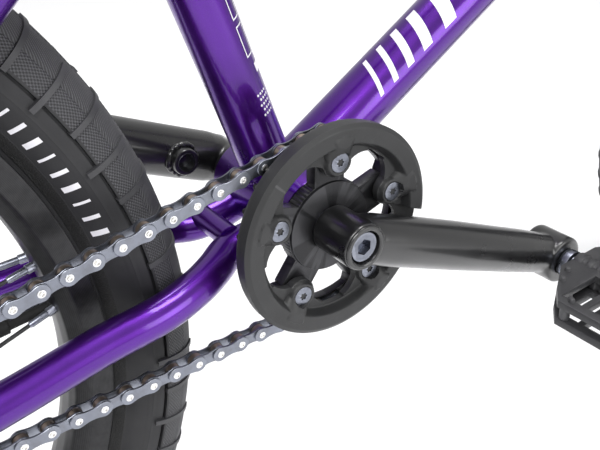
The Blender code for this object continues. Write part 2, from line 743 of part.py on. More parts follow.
def sprocket_pin_angle(centre, radius):
    """Angle of one chain pin that sits on a sprocket, seen from its centre."""
    best = min(chain_pins(), key=lambda pin: abs(math.hypot(pin.x - centre.x, pin.z - centre.z) - radius))
    return math.atan2(best.z - centre.z, best.x - centre.x)


def rail_outline(pins, offset):
    """Loop at a constant distance outside or inside the pin line."""
    count = len(pins)
    outline = []
    for i, pin in enumerate(pins):
        before = (pin - pins[i - 1]).normalized()
        after = (pins[(i + 1) % count] - pin).normalized()
        mean = (before + after).normalized()
        outward = Vector((mean.z, 0.0, -mean.x))
        stretch = 1.0 / max(mean.dot(after), 0.5)
        spot = pin + offset * stretch * outward
        outline.append((spot.x, spot.z))
    return outline


def straight_ends(pins):
    """Pins that shape the loop: those on a sprocket and the ends of the runs."""
    keep = []
    count = len(pins)
    for i, pin in enumerate(pins):
        before = (pin - pins[i - 1]).normalized()
        after = (pins[(i + 1) % count] - pin).normalized()
        if before.dot(after) < math.cos(math.radians(1.0)):
            keep.append(pin)
    return keep


def chain_rail(corners, low, high):
    """One side of the chain: a flat band that follows the pin line."""
    bm = bmesh.new()
    rings = []
    for offset in (CHAIN_HALF_HEIGHT, -CHAIN_HALF_HEIGHT):
        outline = rail_outline(corners, offset)
        for level in (low, high):
            rings.append([bm.verts.new((x, level, z)) for x, z in outline])
    outer_low, outer_high, inner_low, inner_high = rings
    loop_faces(bm, outer_low, outer_high)
    loop_faces(bm, outer_high, inner_high)
    loop_faces(bm, inner_high, inner_low)
    loop_faces(bm, inner_low, outer_low)
    return bm


def append_mesh(bm, other):
    """Move one mesh's geometry into another."""
    scrap = bpy.data.meshes.new("scrap")
    other.to_mesh(scrap)
    other.free()
    bm.from_mesh(scrap)
    bpy.data.meshes.remove(scrap)


def make_chain():
    """Chain loop: two side bands joined by rollers, one in every tooth gap."""
    pins = chain_pins()
    corners = straight_ends(pins)
    inner, outer = CHAIN_INNER_HALF_WIDTH, CHAIN_HALF_WIDTH
    rails = chain_rail(corners, CHAIN_PLANE_Y - outer, CHAIN_PLANE_Y - inner)
    append_mesh(rails, chain_rail(corners, CHAIN_PLANE_Y + inner, CHAIN_PLANE_Y + outer))
    thing = piece("chain", rails, "dark_steel")
    rollers = bmesh.new()
    half = inner + 0.8 * MM
    for k, pin in enumerate(pins):
        if pin not in corners and k % 8:
            continue
        profile = [(-half, ROLLER_RADIUS), (half, ROLLER_RADIUS)]
        append_mesh(rollers, turned(profile, pin, closed=False, segments=6))
    boolean(thing, cutter("join_rollers", rollers), "UNION")


def toothed_outline(teeth, centre, first_pin):
    """Outline of a sprocket: a round seat at each pin and a blunt tooth between."""
    radius = pitch_radius(teeth)
    seat = (ROLLER_RADIUS + GAP) / math.cos(math.radians(30.0))
    tip = radius + 2.6 * MM
    step = 2.0 * math.pi / teeth
    outline = []
    for k in range(teeth):
        turn = first_pin + k * step
        pin = (centre.x + radius * math.cos(turn), centre.z + radius * math.sin(turn))
        for share in (-60.0, 0.0, 60.0):
            way = turn + math.pi - math.radians(share)
            outline.append((pin[0] + seat * math.cos(way), pin[1] + seat * math.sin(way)))
        for share in (0.40, 0.60):
            way = turn + share * step
            outline.append((centre.x + tip * math.cos(way), centre.z + tip * math.sin(way)))
    return outline


def window_cutter(name, centre, inner, outer, half_angle, middle, low, high):
    """Curved window between two radii, around one middle angle."""
    outline = arc((centre.x, centre.z), outer, middle - half_angle, middle + half_angle, 4)
    narrow = half_angle * 0.62
    outline += arc((centre.x, centre.z), inner, middle + narrow, middle - narrow, 2)
    return cutter(name, prism(outline, low, high))


def bolt_angle(k):
    """Angle of one guard bolt around the spindle."""
    return GUARD_FIRST_BOLT - k * 2.0 * math.pi / GUARD_ARMS


def make_sprocket(body):
    """Toothed ring on five arms around a hub that fits the spindle."""
    first = sprocket_pin_angle(BB, SPROCKET_PITCH_RADIUS)
    low, high = CHAIN_PLANE_Y - TOOTH_HALF_WIDTH, CHAIN_PLANE_Y + TOOTH_HALF_WIDTH
    ring = prism(toothed_outline(SPROCKET_TEETH, BB, first), low, high)
    thing = piece("sprocket", ring, "black_alloy", body)
    spider = turned(collar(CHAIN_PLANE_Y - 4.0 * MM, CHAIN_PLANE_Y + 2.6 * MM, 9.0 * MM, 44.0 * MM),
                    BB, segments=30)
    boolean(thing, cutter("join_spider", spider), "UNION")
    hub = turned(collar(GAP - CRANK_BOSS_INNER_Y, CHAIN_PLANE_Y + 3.4 * MM, 8.0 * MM, 24.0 * MM),
                 BB, segments=24)
    boolean(thing, cutter("join_sprocket_hub", hub), "UNION")
    bore = plug(BB, -60.0 * MM, -30.0 * MM, SPINDLE_RADIUS + GAP, 20)
    boolean(thing, cutter("cut_sprocket_bore", bore))
    for k in range(GUARD_ARMS):
        middle = bolt_angle(k) - math.pi / GUARD_ARMS
        boolean(thing, window_cutter("cut_spider_%d" % k, BB, 27.0 * MM, 42.0 * MM,
                                     math.radians(23.0), middle, -0.06, -0.03))


def make_guard(body):
    """Ring outboard of the chain, with windows between the bolts and a recess for the arm."""
    inner_face, outer_face = -45.6 * MM, -56.2 * MM
    profile = [(inner_face, 30.5 * MM), (inner_face, GUARD_RADIUS - 0.6 * MM),
               (inner_face - 2.0 * MM, GUARD_RADIUS), (outer_face + 1.2 * MM, GUARD_RADIUS),
               (outer_face, GUARD_RADIUS - 1.6 * MM), (outer_face + 1.6 * MM, 42.0 * MM),
               (outer_face + 3.4 * MM, 30.5 * MM)]
    thing = piece("sprocket_guard", turned(profile, BB, segments=32), "black_nylon", body)
    for k in range(GUARD_ARMS):
        middle = bolt_angle(k) - math.pi / GUARD_ARMS
        boolean(thing, window_cutter("cut_guard_%d" % k, BB, 25.0 * MM, 44.5 * MM,
                                     math.radians(24.0), middle, -0.07, -0.04))
    across = CRANK_DIRECTION.cross(LEFT)
    recess = block(BB + 55.0 * MM * CRANK_DIRECTION - 57.3 * MM * LEFT, (CRANK_DIRECTION, LEFT, across),
                   (60.0 * MM, 20.0 * MM, 33.0 * MM))
    boolean(thing, cutter("cut_arm_recess", recess))


def make_spindle(body):
    """Solid shaft through both bearings, splined into both arms."""
    half = CRANK_BOSS_OUTER_Y - 9.0 * MM
    profile = [(-half, SPINDLE_RADIUS - 1.0 * MM), (-half + 1.0 * MM, SPINDLE_RADIUS),
               (half - 1.0 * MM, SPINDLE_RADIUS), (half, SPINDLE_RADIUS - 1.0 * MM)]
    piece("spindle", turned(profile, BB, closed=False, segments=16), "steel", body)


def make_spindle_bolts(body):
    """Recessed bolt in the outer end of each arm's boss."""
    outer = CRANK_BOSS_OUTER_Y - 1.6 * MM
    inner = CRANK_BOSS_OUTER_Y - 8.6 * MM
    for side, word in ((-1, "right"), (1, "left")):
        profile = [(side * inner, 4.6 * MM), (side * inner, 8.6 * MM), (side * outer, 8.6 * MM),
                   (side * outer, 4.6 * MM)]
        piece("spindle_bolt_" + word, turned(profile, BB, segments=18), "steel", body)


def make_crank_arm(side, word, body):
    """Round tapered arm with a boss for the spindle and one for the pedal."""
    direction = -side * CRANK_DIRECTION
    inner, outer, radius = CRANK_BOSS_INNER_Y, CRANK_BOSS_OUTER_Y, CRANK_BOSS_RADIUS
    profile = [(side * inner, radius), (side * (outer - EDGE_BREAK), radius),
               (side * outer, radius - EDGE_BREAK)]
    boss = turned(profile, BB, closed=False, segments=16)
    thing = piece("crank_arm_" + word, boss, "black_paint", body)
    stations = ((4.0, 61.1, 12.4), (14.0, 61.6, 13.4), (30.0, 62.4, 14.2), (80.0, 65.4, 14.3),
                (140.0, 69.2, 13.6), (166.0, 70.8, 12.8), (173.0, 71.0, 12.0))
    path = [BB + along * MM * direction + side * y * MM * LEFT for along, y, _ in stations]
    radii = [r * MM for _, _, r in stations]
    boolean(thing, cutter("join_arm_" + word, rod(path, radii, 14)), "UNION")
    pedal = BB + CRANK_LENGTH * direction
    near, far, size = PEDAL_BOSS_INNER_Y, PEDAL_BOSS_OUTER_Y, PEDAL_BOSS_RADIUS
    profile = [(side * near, size - EDGE_BREAK), (side * (near + EDGE_BREAK), size),
               (side * (far - EDGE_BREAK), size), (side * far, size - EDGE_BREAK)]
    end = turned(profile, pedal, closed=False, segments=16)
    boolean(thing, cutter("join_pedal_boss_" + word, end), "UNION")
    step, over = outer - CRANK_BOLT_DEPTH, 2.0 * MM
    profile = [(side * (inner - over), SPINDLE_RADIUS + GAP), (side * step, SPINDLE_RADIUS + GAP),
               (side * step, CRANK_BOSS_BORE), (side * (outer + over), CRANK_BOSS_BORE)]
    bore = turned(profile, BB, closed=False, segments=16)
    boolean(thing, cutter("cut_spindle_bore_" + word, bore))
    thread = plug(pedal, side * (near - over), side * (far + over), PEDAL_THREAD_RADIUS, 14)
    boolean(thing, cutter("cut_pedal_thread_" + word, thread))


def make_pedal(side, word, axle_body, pedal_body):
    """Pedal axle, fixed to the arm, and the platform that turns on it."""
    centre = BB - side * CRANK_LENGTH * CRANK_DIRECTION
    start, end = PEDAL_BOSS_INNER_Y + 1.0 * MM, PEDAL_BOSS_OUTER_Y + 96.0 * MM
    wrench = PEDAL_BOSS_OUTER_Y
    profile = [(side * start, 7.0 * MM), (side * wrench, 7.0 * MM), (side * (wrench + GAP), 9.0 * MM),
               (side * (wrench + 6.0 * MM), 9.0 * MM), (side * (wrench + 6.0 * MM), 6.5 * MM),
               (side * end, 5.0 * MM)]
    piece("pedal_axle_" + word, turned(profile, centre, closed=False, segments=12), "steel", axle_body)
    inner, outer, half = wrench + 8.0 * MM, wrench + 106.0 * MM, 50.0 * MM
    outline = [(half * 0.35, inner), (half * 0.78, inner + 13.0 * MM), (half, inner + 22.0 * MM),
               (half, outer - 12.0 * MM), (half * 0.74, outer)]
    outline += [(-x, y) for x, y in reversed(outline)]
    bm = bmesh.new()
    low = [bm.verts.new((centre.x + x, side * y, centre.z - 8.5 * MM)) for x, y in outline]
    high = [bm.verts.new((centre.x + x, side * y, centre.z + 8.5 * MM)) for x, y in outline]
    loop_faces(bm, low, high)
    bm.faces.new(low)
    bm.faces.new(high)
    thing = piece("pedal_" + word, bm, "black_plastic", pedal_body)
    barrel = turned([(side * (inner + 0.4 * MM), 10.5 * MM), (side * (outer - 0.4 * MM), 10.5 * MM)],
                    centre, closed=False, segments=16)
    boolean(thing, cutter("join_pedal_barrel_" + word, barrel), "UNION")
    axes = (Vector((1, 0, 0)), LEFT, Vector((0, 0, 1)))
    for sign in (-1, 1):
        for low_y, high_y in ((22.0, 48.0), (53.0, 82.0)):
            middle = centre + Vector((sign * 28.0 * MM, side * (inner + 0.5 * (low_y + high_y) * MM), 0.0))
            hole = block(middle, axes, (27.0 * MM, (high_y - low_y) * MM, 40.0 * MM))
            boolean(thing, cutter("cut_pedal_%s_%d_%d" % (word, sign, low_y), hole))
    bore = turned([(side * (inner - 0.01), 6.8 * MM), (side * (end + 1.5 * MM), 6.8 * MM)],
                  centre, closed=False, segments=20)
    boolean(thing, cutter("cut_pedal_bore_" + word, bore))


def make_driver(body):
    """Nine-tooth cog in one piece with the hub's driver."""
    first = sprocket_pin_angle(REAR_AXLE, COG_PITCH_RADIUS)
    low, high = CHAIN_PLANE_Y - TOOTH_HALF_WIDTH, CHAIN_PLANE_Y + TOOTH_HALF_WIDTH
    outline = toothed_outline(COG_TEETH, REAR_AXLE, first)
    thing = piece("driver_cog", prism(outline, low, high), "dark_steel", body)
    sleeve = collar(-36.0 * MM, -48.0 * MM, REAR_AXLE_RADIUS + 0.5 * MM, 12.6 * MM)
    boolean(thing, cutter("join_driver", turned(sleeve, REAR_AXLE, segments=18)), "UNION")
    bore = plug(REAR_AXLE, -60.0 * MM, -30.0 * MM, REAR_AXLE_RADIUS + GAP, 14)
    boolean(thing, cutter("cut_driver_bore", bore))


# ---------------------------------------------------------------- steering
def fork_leg_path(side):
    """Centre line of a fork leg: out from the steerer's foot, then down to the axle."""
    stations = ((303.0, 0.0, 8.0), (300.0, 0.0, 26.0), (291.0, 1.0, 41.0), (268.0, 2.5, 49.0),
                (230.0, 5.0, 50.6), (130.0, 12.0, 52.0), (45.0, 22.0, 53.0), (24.0, 26.0, 53.0))
    points = [steer(s * MM, o * MM, side * y * MM) for s, o, y in stations]
    return points


def make_fork(body):
    """Steerer with its flared foot, and two tapered legs that end in dropouts."""
    foot = steer(0.0)
    profile = [(286.0 * MM, 17.0 * MM), (306.0 * MM, 19.5 * MM), (314.0 * MM, 20.5 * MM),
               (HEAD_TUBE_START - 0.6 * MM, 20.0 * MM), (HEAD_TUBE_START - 0.5 * MM, STEERER_RADIUS),
               (STEM_CENTRE + 17.0 * MM, STEERER_RADIUS)]
    piece("steerer", turned(profile, foot, STEER_UP, 20, closed=False), "black_paint", body)
    guard = [(250.0 * MM, 17.0 * MM + GAP), (286.0 * MM, 17.0 * MM + GAP), (306.0 * MM, 19.5 * MM + GAP),
             (314.0 * MM, 20.5 * MM + GAP), (330.0 * MM, 20.5 * MM + GAP)]
    keep = cutter("cut_steerer_foot", turned(guard, foot, STEER_UP, 20, closed=False))
    for side, word in ((-1, "right"), (1, "left")):
        path = fork_leg_path(side)
        count = len(path)
        radii = [(14.5 - 6.0 * (k / (count - 1.0)) ** 1.5) * MM for k in range(count)]
        thing = piece("fork_leg_" + word, rod(path, radii, 14), "black_paint", body)
        boolean(thing, keep)
        inner = side * FRONT_HALF_SPACING
        outer = side * (FRONT_HALF_SPACING + DROPOUT_THICKNESS)
        plate = cutter("join_fork_dropout_" + word, prism(fork_dropout_outline(), inner, outer))
        boolean(thing, plate, "UNION")
        boolean(thing, fork_slot(side))


def fork_dropout_outline():
    """Rounded plate below the fork leg, around the front axle."""
    centre = (FRONT_AXLE.x, FRONT_AXLE.z)
    outline = arc(centre, 13.5 * MM, math.radians(180.0), math.radians(370.0), 8)
    top = steer(34.0 * MM, 25.0 * MM)
    outline += [(top.x + 7.5 * MM, top.z), (top.x - 7.5 * MM, top.z - 4.0 * MM)]
    return outline


def fork_slot(side):
    """Slot for the axle, open at the bottom."""
    radius = FRONT_AXLE_RADIUS + GAP
    centre = (FRONT_AXLE.x, FRONT_AXLE.z)
    outline = arc(centre, radius, 0.0, math.pi, 6)
    outline += [(centre[0] - radius, centre[1] - 0.03), (centre[0] + radius, centre[1] - 0.03)]
    low = side * (FRONT_HALF_SPACING - 0.03)
    high = side * (FRONT_HALF_SPACING + 0.03)
    return cutter("cut_fork_slot_%d" % side, prism(outline, low, high))


def make_headset_cap(body):
    """Conical dust cover between the upper bearing and the stem."""
    start = HEAD_TUBE_END + 0.5 * MM
    top = STEM_CENTRE - 16.3 * MM
    profile = [(start, STEERER_RADIUS + GAP), (start, 21.8 * MM), (start + 2.0 * MM, 22.0 * MM),
               (top, 18.5 * MM), (top, STEERER_RADIUS + GAP)]
    piece("headset_dust_cap", turned(profile, steer(0.0), STEER_UP, 20), "black_alloy", body)


def make_stem(body):
    """Front-loading stem: a body around the steerer and a separate face plate."""
    bar = steer(STEM_CENTRE, STEM_REACH)
    axes = (STEER_FORWARD, LEFT, STEER_UP)
    ring = turned(collar(STEM_CENTRE - 16.0 * MM, STEM_CENTRE + 16.0 * MM, STEERER_RADIUS + GAP, 20.0 * MM),
                  steer(0.0), STEER_UP, 20)
    thing = piece("stem_body", ring, "black_alloy", body)
    reach = block(steer(STEM_CENTRE, 0.5 * (STEM_REACH + 15.5 * MM)), axes,
                  (STEM_REACH - 16.0 * MM, 36.0 * MM, 30.0 * MM))
    boolean(thing, cutter("join_stem_reach", reach), "UNION")
    head = block(steer(STEM_CENTRE, STEM_REACH - 9.0 * MM), axes, (17.4 * MM, 52.0 * MM, 36.0 * MM))
    boolean(thing, cutter("join_stem_head", head), "UNION")
    bore = cutter("cut_bar_bore", rod([bar - 0.04 * LEFT, bar + 0.04 * LEFT], BAR_RADIUS + GAP, 16))
    boolean(thing, bore)
    split = block(steer(STEM_CENTRE, -20.0 * MM), axes, (16.0 * MM, 2.0 * MM, 60.0 * MM))
    boolean(thing, cutter("cut_stem_split", split))
    plate = block(steer(STEM_CENTRE, STEM_REACH + 8.6 * MM), axes, (16.4 * MM, 52.0 * MM, 36.0 * MM))
    cover = piece("stem_face_plate", plate, "black_alloy", body)
    boolean(cover, bore)


def bar_point(y, height, back):
    """Point on the handlebar: out from the middle, up from the clamp, backwards."""
    return steer(STEM_CENTRE + height * MM, STEM_REACH - back * MM, y * MM)


def bar_half():
    """Centre line of the bar's left half, from the clamp to the grip end."""
    rise = BAR_RISE / MM
    sweep = BAR_SWEEP / MM
    half = BAR_HALF_WIDTH / MM
    knots = [(0.0, 0.0, 0.0), (42.0, 0.0, 0.0), (62.0, 6.0, 0.0), (78.0, 22.0, 0.0),
             (121.0, 104.0, 0.0), (164.0, 186.0, 0.5), (182.0, 212.0, 2.0), (207.0, 224.5, 4.5),
             (232.0, 226.5, 7.0), (half, rise, sweep)]
    return [bar_point(*knot) for knot in knots]


def grip_axis():
    """Direction of the bar's left end, pointing out of the grip."""
    start, end = bar_half()[-2:]
    return (end - start).normalized()


def make_handlebar(body):
    """High-rise bar with a crossbar, bent from one tube."""
    left = bar_half()
    right = mirrored(left, -1)
    path = list(reversed(right)) + left[1:]
    thing = piece("handlebar", rod(path, BAR_RADIUS, 12), "black_paint", body)
    height, reach = 150.0, 145.0
    line = [bar_point(-reach, height, 0.2), bar_point(reach, height, 0.2)]
    boolean(thing, cutter("join_crossbar", rod(line, 8.0 * MM, 10)), "UNION")


def make_grips(body):
    """Rubber sleeve on each end of the bar, closed at its outer end."""
    end = bar_half()[-1]
    overhang = 6.0 * MM
    start = overhang - GRIP_LENGTH
    flange = GRIP_RADIUS + 1.0 * MM
    profile = [(start, flange), (start + 4.0 * MM, flange), (start + 6.0 * MM, GRIP_RADIUS),
               (2.0 * MM, GRIP_RADIUS), (overhang, GRIP_RADIUS - 3.0 * MM)]
    hole = [(start - 10.0 * MM, BAR_RADIUS + GAP), (GAP, BAR_RADIUS + GAP)]
    for side, word in ((-1, "right"), (1, "left")):
        axis = grip_axis()
        axis = Vector((axis.x, side * axis.y, axis.z))
        tip = Vector((end.x, side * end.y, end.z))
        thing = piece("grip_" + word, turned(profile, tip, axis, 16, closed=False), "grip_rubber", body)
        bore = cutter("cut_grip_" + word, turned(hole, tip, axis, 16, closed=False))
        boolean(thing, bore)


# ---------------------------------------------------------------- seat
def seat_axes():
    """Forward and upward directions of the tilted seat."""
    forward = Vector((math.cos(SEAT_NOSE_UP), 0.0, math.sin(SEAT_NOSE_UP)))
    up = Vector((-math.sin(SEAT_NOSE_UP), 0.0, math.cos(SEAT_NOSE_UP)))
    return forward, up


def seat_half_width(share):
    """Half width of the seat from its tail (0) to its nose (1)."""
    tail, nose = 0.5 * SEAT_WIDTH, 17.0 * MM
    blend = 0.5 - 0.5 * math.cos(math.pi * min(max((share - 0.22) / 0.55, 0.0), 1.0))
    width = tail + (nose - tail) * blend
    ends = min(share / 0.10, (1.0 - share) / 0.05, 1.0)
    return width * (0.35 + 0.65 * math.sqrt(max(ends, 0.0)))


def seat_layer(bm, stations, drop, shrink, crown):
    """One level of the seat: rows of points across it, tail to nose."""
    forward, up = seat_axes()
    columns = (-1.0, -0.62, 0.0, 0.62, 1.0)
    rows = []
    for share in stations:
        half = seat_half_width(share) * shrink
        along = (share - 0.46) * SEAT_LENGTH * (0.98 + 0.02 * shrink)
        lift = crown * (1.0 - 0.35 * share) + 8.0 * MM * (2.0 * share - 1.0) ** 2
        row = []
        for c in columns:
            height = drop + lift * (1.0 - 0.5 * c * c)
            spot = SEAT_PIVOT_POINT + along * forward + c * half * LEFT + height * up
            row.append(bm.verts.new(spot))
        rows.append(row)
    return rows


def seat_solid(low, high):
    """Closed solid between two levels of the seat; each level is (drop, shrink, crown)."""
    bm = bmesh.new()
    stations = [0.0, 0.05, 0.15, 0.3, 0.45, 0.6, 0.75, 0.9, 1.0]
    bottom = seat_layer(bm, stations, *low)
    top = seat_layer(bm, stations, *high)
    for rows in (bottom, top):
        for a, b in zip(rows, rows[1:]):
            for i in range(len(a) - 1):
                bm.faces.new((a[i], a[i + 1], b[i + 1], b[i]))
    for low_row, high_row in ((bottom[0], top[0]), (bottom[-1], top[-1])):
        for i in range(len(low_row) - 1):
            bm.faces.new((low_row[i], low_row[i + 1], high_row[i + 1], high_row[i]))
    for edge in (0, -1):
        for k in range(len(bottom) - 1):
            bm.faces.new((bottom[k][edge], bottom[k + 1][edge], top[k + 1][edge], top[k][edge]))
    return bm


def make_seat(post_body, seat_body):
    """Pivoting seat: a post with a round head, a shell that hugs it, a pad and a bolt."""
    top = SEAT_PIVOT_POINT
    axis_drop = 11.0 * MM
    post_line = [BB + 0.105 * SEAT_UP, top - 7.0 * MM * SEAT_UP]
    post = piece("seat_post", rod(post_line, SEAT_POST_RADIUS, 20), "black_alloy", post_body)
    head = turned([(-14.0 * MM, axis_drop), (14.0 * MM, axis_drop)], top, closed=False, segments=24)
    boolean(post, cutter("join_post_head", head), "UNION")
    hole = rod([top - 0.05 * LEFT, top + 0.05 * LEFT], 4.3 * MM, 12)
    pin_bore = cutter("cut_pivot_bore", hole)
    boolean(post, pin_bore)
    forward, up = seat_axes()
    shell = piece("seat_shell", seat_solid((14.5 * MM, 0.90, 1.0 * MM), (18.5 * MM, 0.97, 2.0 * MM)),
                  "black_plastic", seat_body)
    cheeks = block(top + 5.0 * MM * up, (forward, LEFT, up), (30.0 * MM, 40.0 * MM, 26.0 * MM))
    boolean(shell, cutter("join_cheeks", cheeks), "UNION")
    room = block(top - 4.0 * MM * up, (forward, LEFT, up), (60.0 * MM, 28.8 * MM, 34.6 * MM))
    boolean(shell, cutter("cut_cheek_gap", room))
    boolean(shell, pin_bore)
    pad = seat_solid((19.2 * MM, 1.0, 2.0 * MM), (38.0 * MM, 0.90, 7.0 * MM))
    piece("seat_pad", pad, "seat_fabric", seat_body)
    bolt = [(-24.0 * MM, 7.0 * MM), (-20.3 * MM, 7.0 * MM), (-20.3 * MM, 4.0 * MM),
            (20.3 * MM, 4.0 * MM), (20.3 * MM, 7.0 * MM), (24.0 * MM, 7.0 * MM)]
    piece("seat_pivot_bolt", turned(bolt, top, closed=False, segments=12), "steel", seat_body)


# ---------------------------------------------------------------- assembly
def make_frame():
    """Everything fixed to the frame, with the rear axle and its nuts."""
    shell = shell_cutter()
    seat_cut = seat_tube_cutter()
    head_cut = head_tube_cutter()
    make_bottom_bracket()
    make_seat_tube(shell)
    make_down_tube(shell, seat_cut, head_cut)
    make_top_tube(seat_cut, head_cut)
    make_head_tube()
    make_stays(shell, seat_cut)
    make_bridges()
    make_dropouts()
    make_seat_clamp()
    make_axle("rear_axle", REAR_AXLE, REAR_AXLE_RADIUS, 78.0 * MM, 10.0 * MM, 49.0 * MM, REAR_HALF_SPACING)
    make_nuts("rear", REAR_AXLE, REAR_AXLE_RADIUS, 21.0 * MM, REAR_HALF_SPACING + DROPOUT_THICKNESS)


def make_steering():
    """Everything that turns with the handlebar, and the front wheel in it."""
    body = empty("steering", steer(HEAD_TUBE_START))
    make_fork(body)
    make_headset_cap(body)
    make_stem(body)
    make_handlebar(body)
    make_grips(body)
    make_axle("front_axle", FRONT_AXLE, FRONT_AXLE_RADIUS, 71.0 * MM, 8.0 * MM, 46.4 * MM,
              FRONT_HALF_SPACING, body)
    make_nuts("front", FRONT_AXLE, FRONT_AXLE_RADIUS, 15.0 * MM,
              FRONT_HALF_SPACING + DROPOUT_THICKNESS, body)
    make_front_wheel(empty("front_wheel", FRONT_AXLE, body))


def make_drive():
    """Cranks with the sprocket, both pedals, the driver and the chain."""
    cranks = empty("cranks", BB)
    make_spindle(cranks)
    make_spindle_bolts(cranks)
    make_sprocket(cranks)
    make_guard(cranks)
    for side, word in ((-1, "right"), (1, "left")):
        make_crank_arm(side, word, cranks)
        pedal_body = empty("pedal_body_" + word, BB - side * CRANK_LENGTH * CRANK_DIRECTION, cranks)
        make_pedal(side, word, cranks, pedal_body)
    make_driver(empty("driver", REAR_AXLE))
    make_chain()


def main():
    clear_scene()
    make_frame()
    make_steering()
    make_drive()
    make_rear_wheel(empty("rear_wheel", REAR_AXLE))
    post_body = empty("seat_height", SEAT_PIVOT_POINT)
    make_seat(post_body, empty("seat_tilt", SEAT_PIVOT_POINT, post_body))


main()
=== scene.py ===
import json
import math

import bmesh
import bpy
from mathutils import Matrix, Vector


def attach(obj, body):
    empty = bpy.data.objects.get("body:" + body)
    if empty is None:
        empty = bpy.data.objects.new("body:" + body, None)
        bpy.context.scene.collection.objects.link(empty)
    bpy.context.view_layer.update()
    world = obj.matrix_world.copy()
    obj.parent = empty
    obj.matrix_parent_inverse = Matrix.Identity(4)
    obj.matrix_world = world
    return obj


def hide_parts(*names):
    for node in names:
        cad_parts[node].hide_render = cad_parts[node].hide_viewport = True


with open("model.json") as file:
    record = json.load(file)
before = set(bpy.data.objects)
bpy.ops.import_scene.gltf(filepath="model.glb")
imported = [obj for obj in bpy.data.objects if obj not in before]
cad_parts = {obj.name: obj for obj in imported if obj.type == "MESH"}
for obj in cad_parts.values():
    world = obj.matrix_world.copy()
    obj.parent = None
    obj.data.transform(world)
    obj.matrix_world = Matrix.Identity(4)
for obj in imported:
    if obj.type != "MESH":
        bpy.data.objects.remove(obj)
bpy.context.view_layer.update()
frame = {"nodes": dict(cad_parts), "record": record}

MM = 0.001
TURN = 2.0 * math.pi
LEFT = Vector((0.0, 1.0, 0.0))
ZUP = Vector((0.0, 0.0, 1.0))
SIDES = ((-1, "right"), (1, "left"))

JOINTS = {j["name"]: j for j in frame["record"]["behaviour"]["joints"]}


def joint_place(name):
    """Position of a joint of the record, as packed."""
    return Vector(JOINTS[name]["pos_m"])


BB = joint_place("crank_spin")
REAR_AXLE = joint_place("rear_wheel_spin")
FRONT_AXLE = joint_place("front_wheel_spin")
SEAT_UP = Vector(JOINTS["seat_height"]["axis"]).normalized()
SEAT_PIVOT = joint_place("seat_tilt")
STEER_UP = Vector(JOINTS["steering_turn"]["axis"]).normalized()
STEER_FORWARD = Vector((STEER_UP.z, 0.0, -STEER_UP.x))
FORK_OFFSET = 30.0 * MM
STEER_FOOT = FRONT_AXLE - FORK_OFFSET * STEER_FORWARD
CRANK_DIRECTION = (joint_place("pedal_right_spin") - BB) * Vector((1, 0, 1))
CRANK_DIRECTION.normalize()
CRANK_ACROSS = LEFT.cross(CRANK_DIRECTION)
CRANK_LENGTH = 175.0 * MM

CHAIN_PITCH = 12.7 * MM
CHAIN_LINKS = 69
HALF_LINK = 30
CHAIN_PHASE = 2.3 * MM / CHAIN_PITCH
CHAIN_Y = -40.7 * MM
SPROCKET_TEETH = 25
COG_TEETH = 9
ROLLER_RADIUS = 3.875 * MM

GUARD_EDGE = 58.6           # millimetres
RIGHT_CUT = (-0.06, -0.03)  # Y range that passes through the sprocket's side of the bike
BOLT_CIRCLE = 38.6 * MM
FIRST_BOLT = math.radians(88.7)
ARM_COUNT = 5


def bb(x, y, z):
    """Point given in millimetres from the bottom bracket."""
    return BB + MM * Vector((x, y, z))


def steer(along, forward=0.0, left=0.0):
    """Point in the steering frame, in millimetres: along the axis, forward, left."""
    return STEER_FOOT + MM * (along * STEER_UP + forward * STEER_FORWARD + left * LEFT)


def mirrored(points, side):
    """Path for the right (-1) or the left (1) side of the bike."""
    return [Vector((p.x, side * p.y, p.z)) for p in points]


def sided(side, profile):
    """Turned profile for the right (-1) or the left (1) side of the bike."""
    return [(side * y, r) for y, r in profile]


def around(centre, radius, turn):
    """Point (x, z) on a circle in the side view."""
    return centre.x + radius * math.cos(turn), centre.z + radius * math.sin(turn)


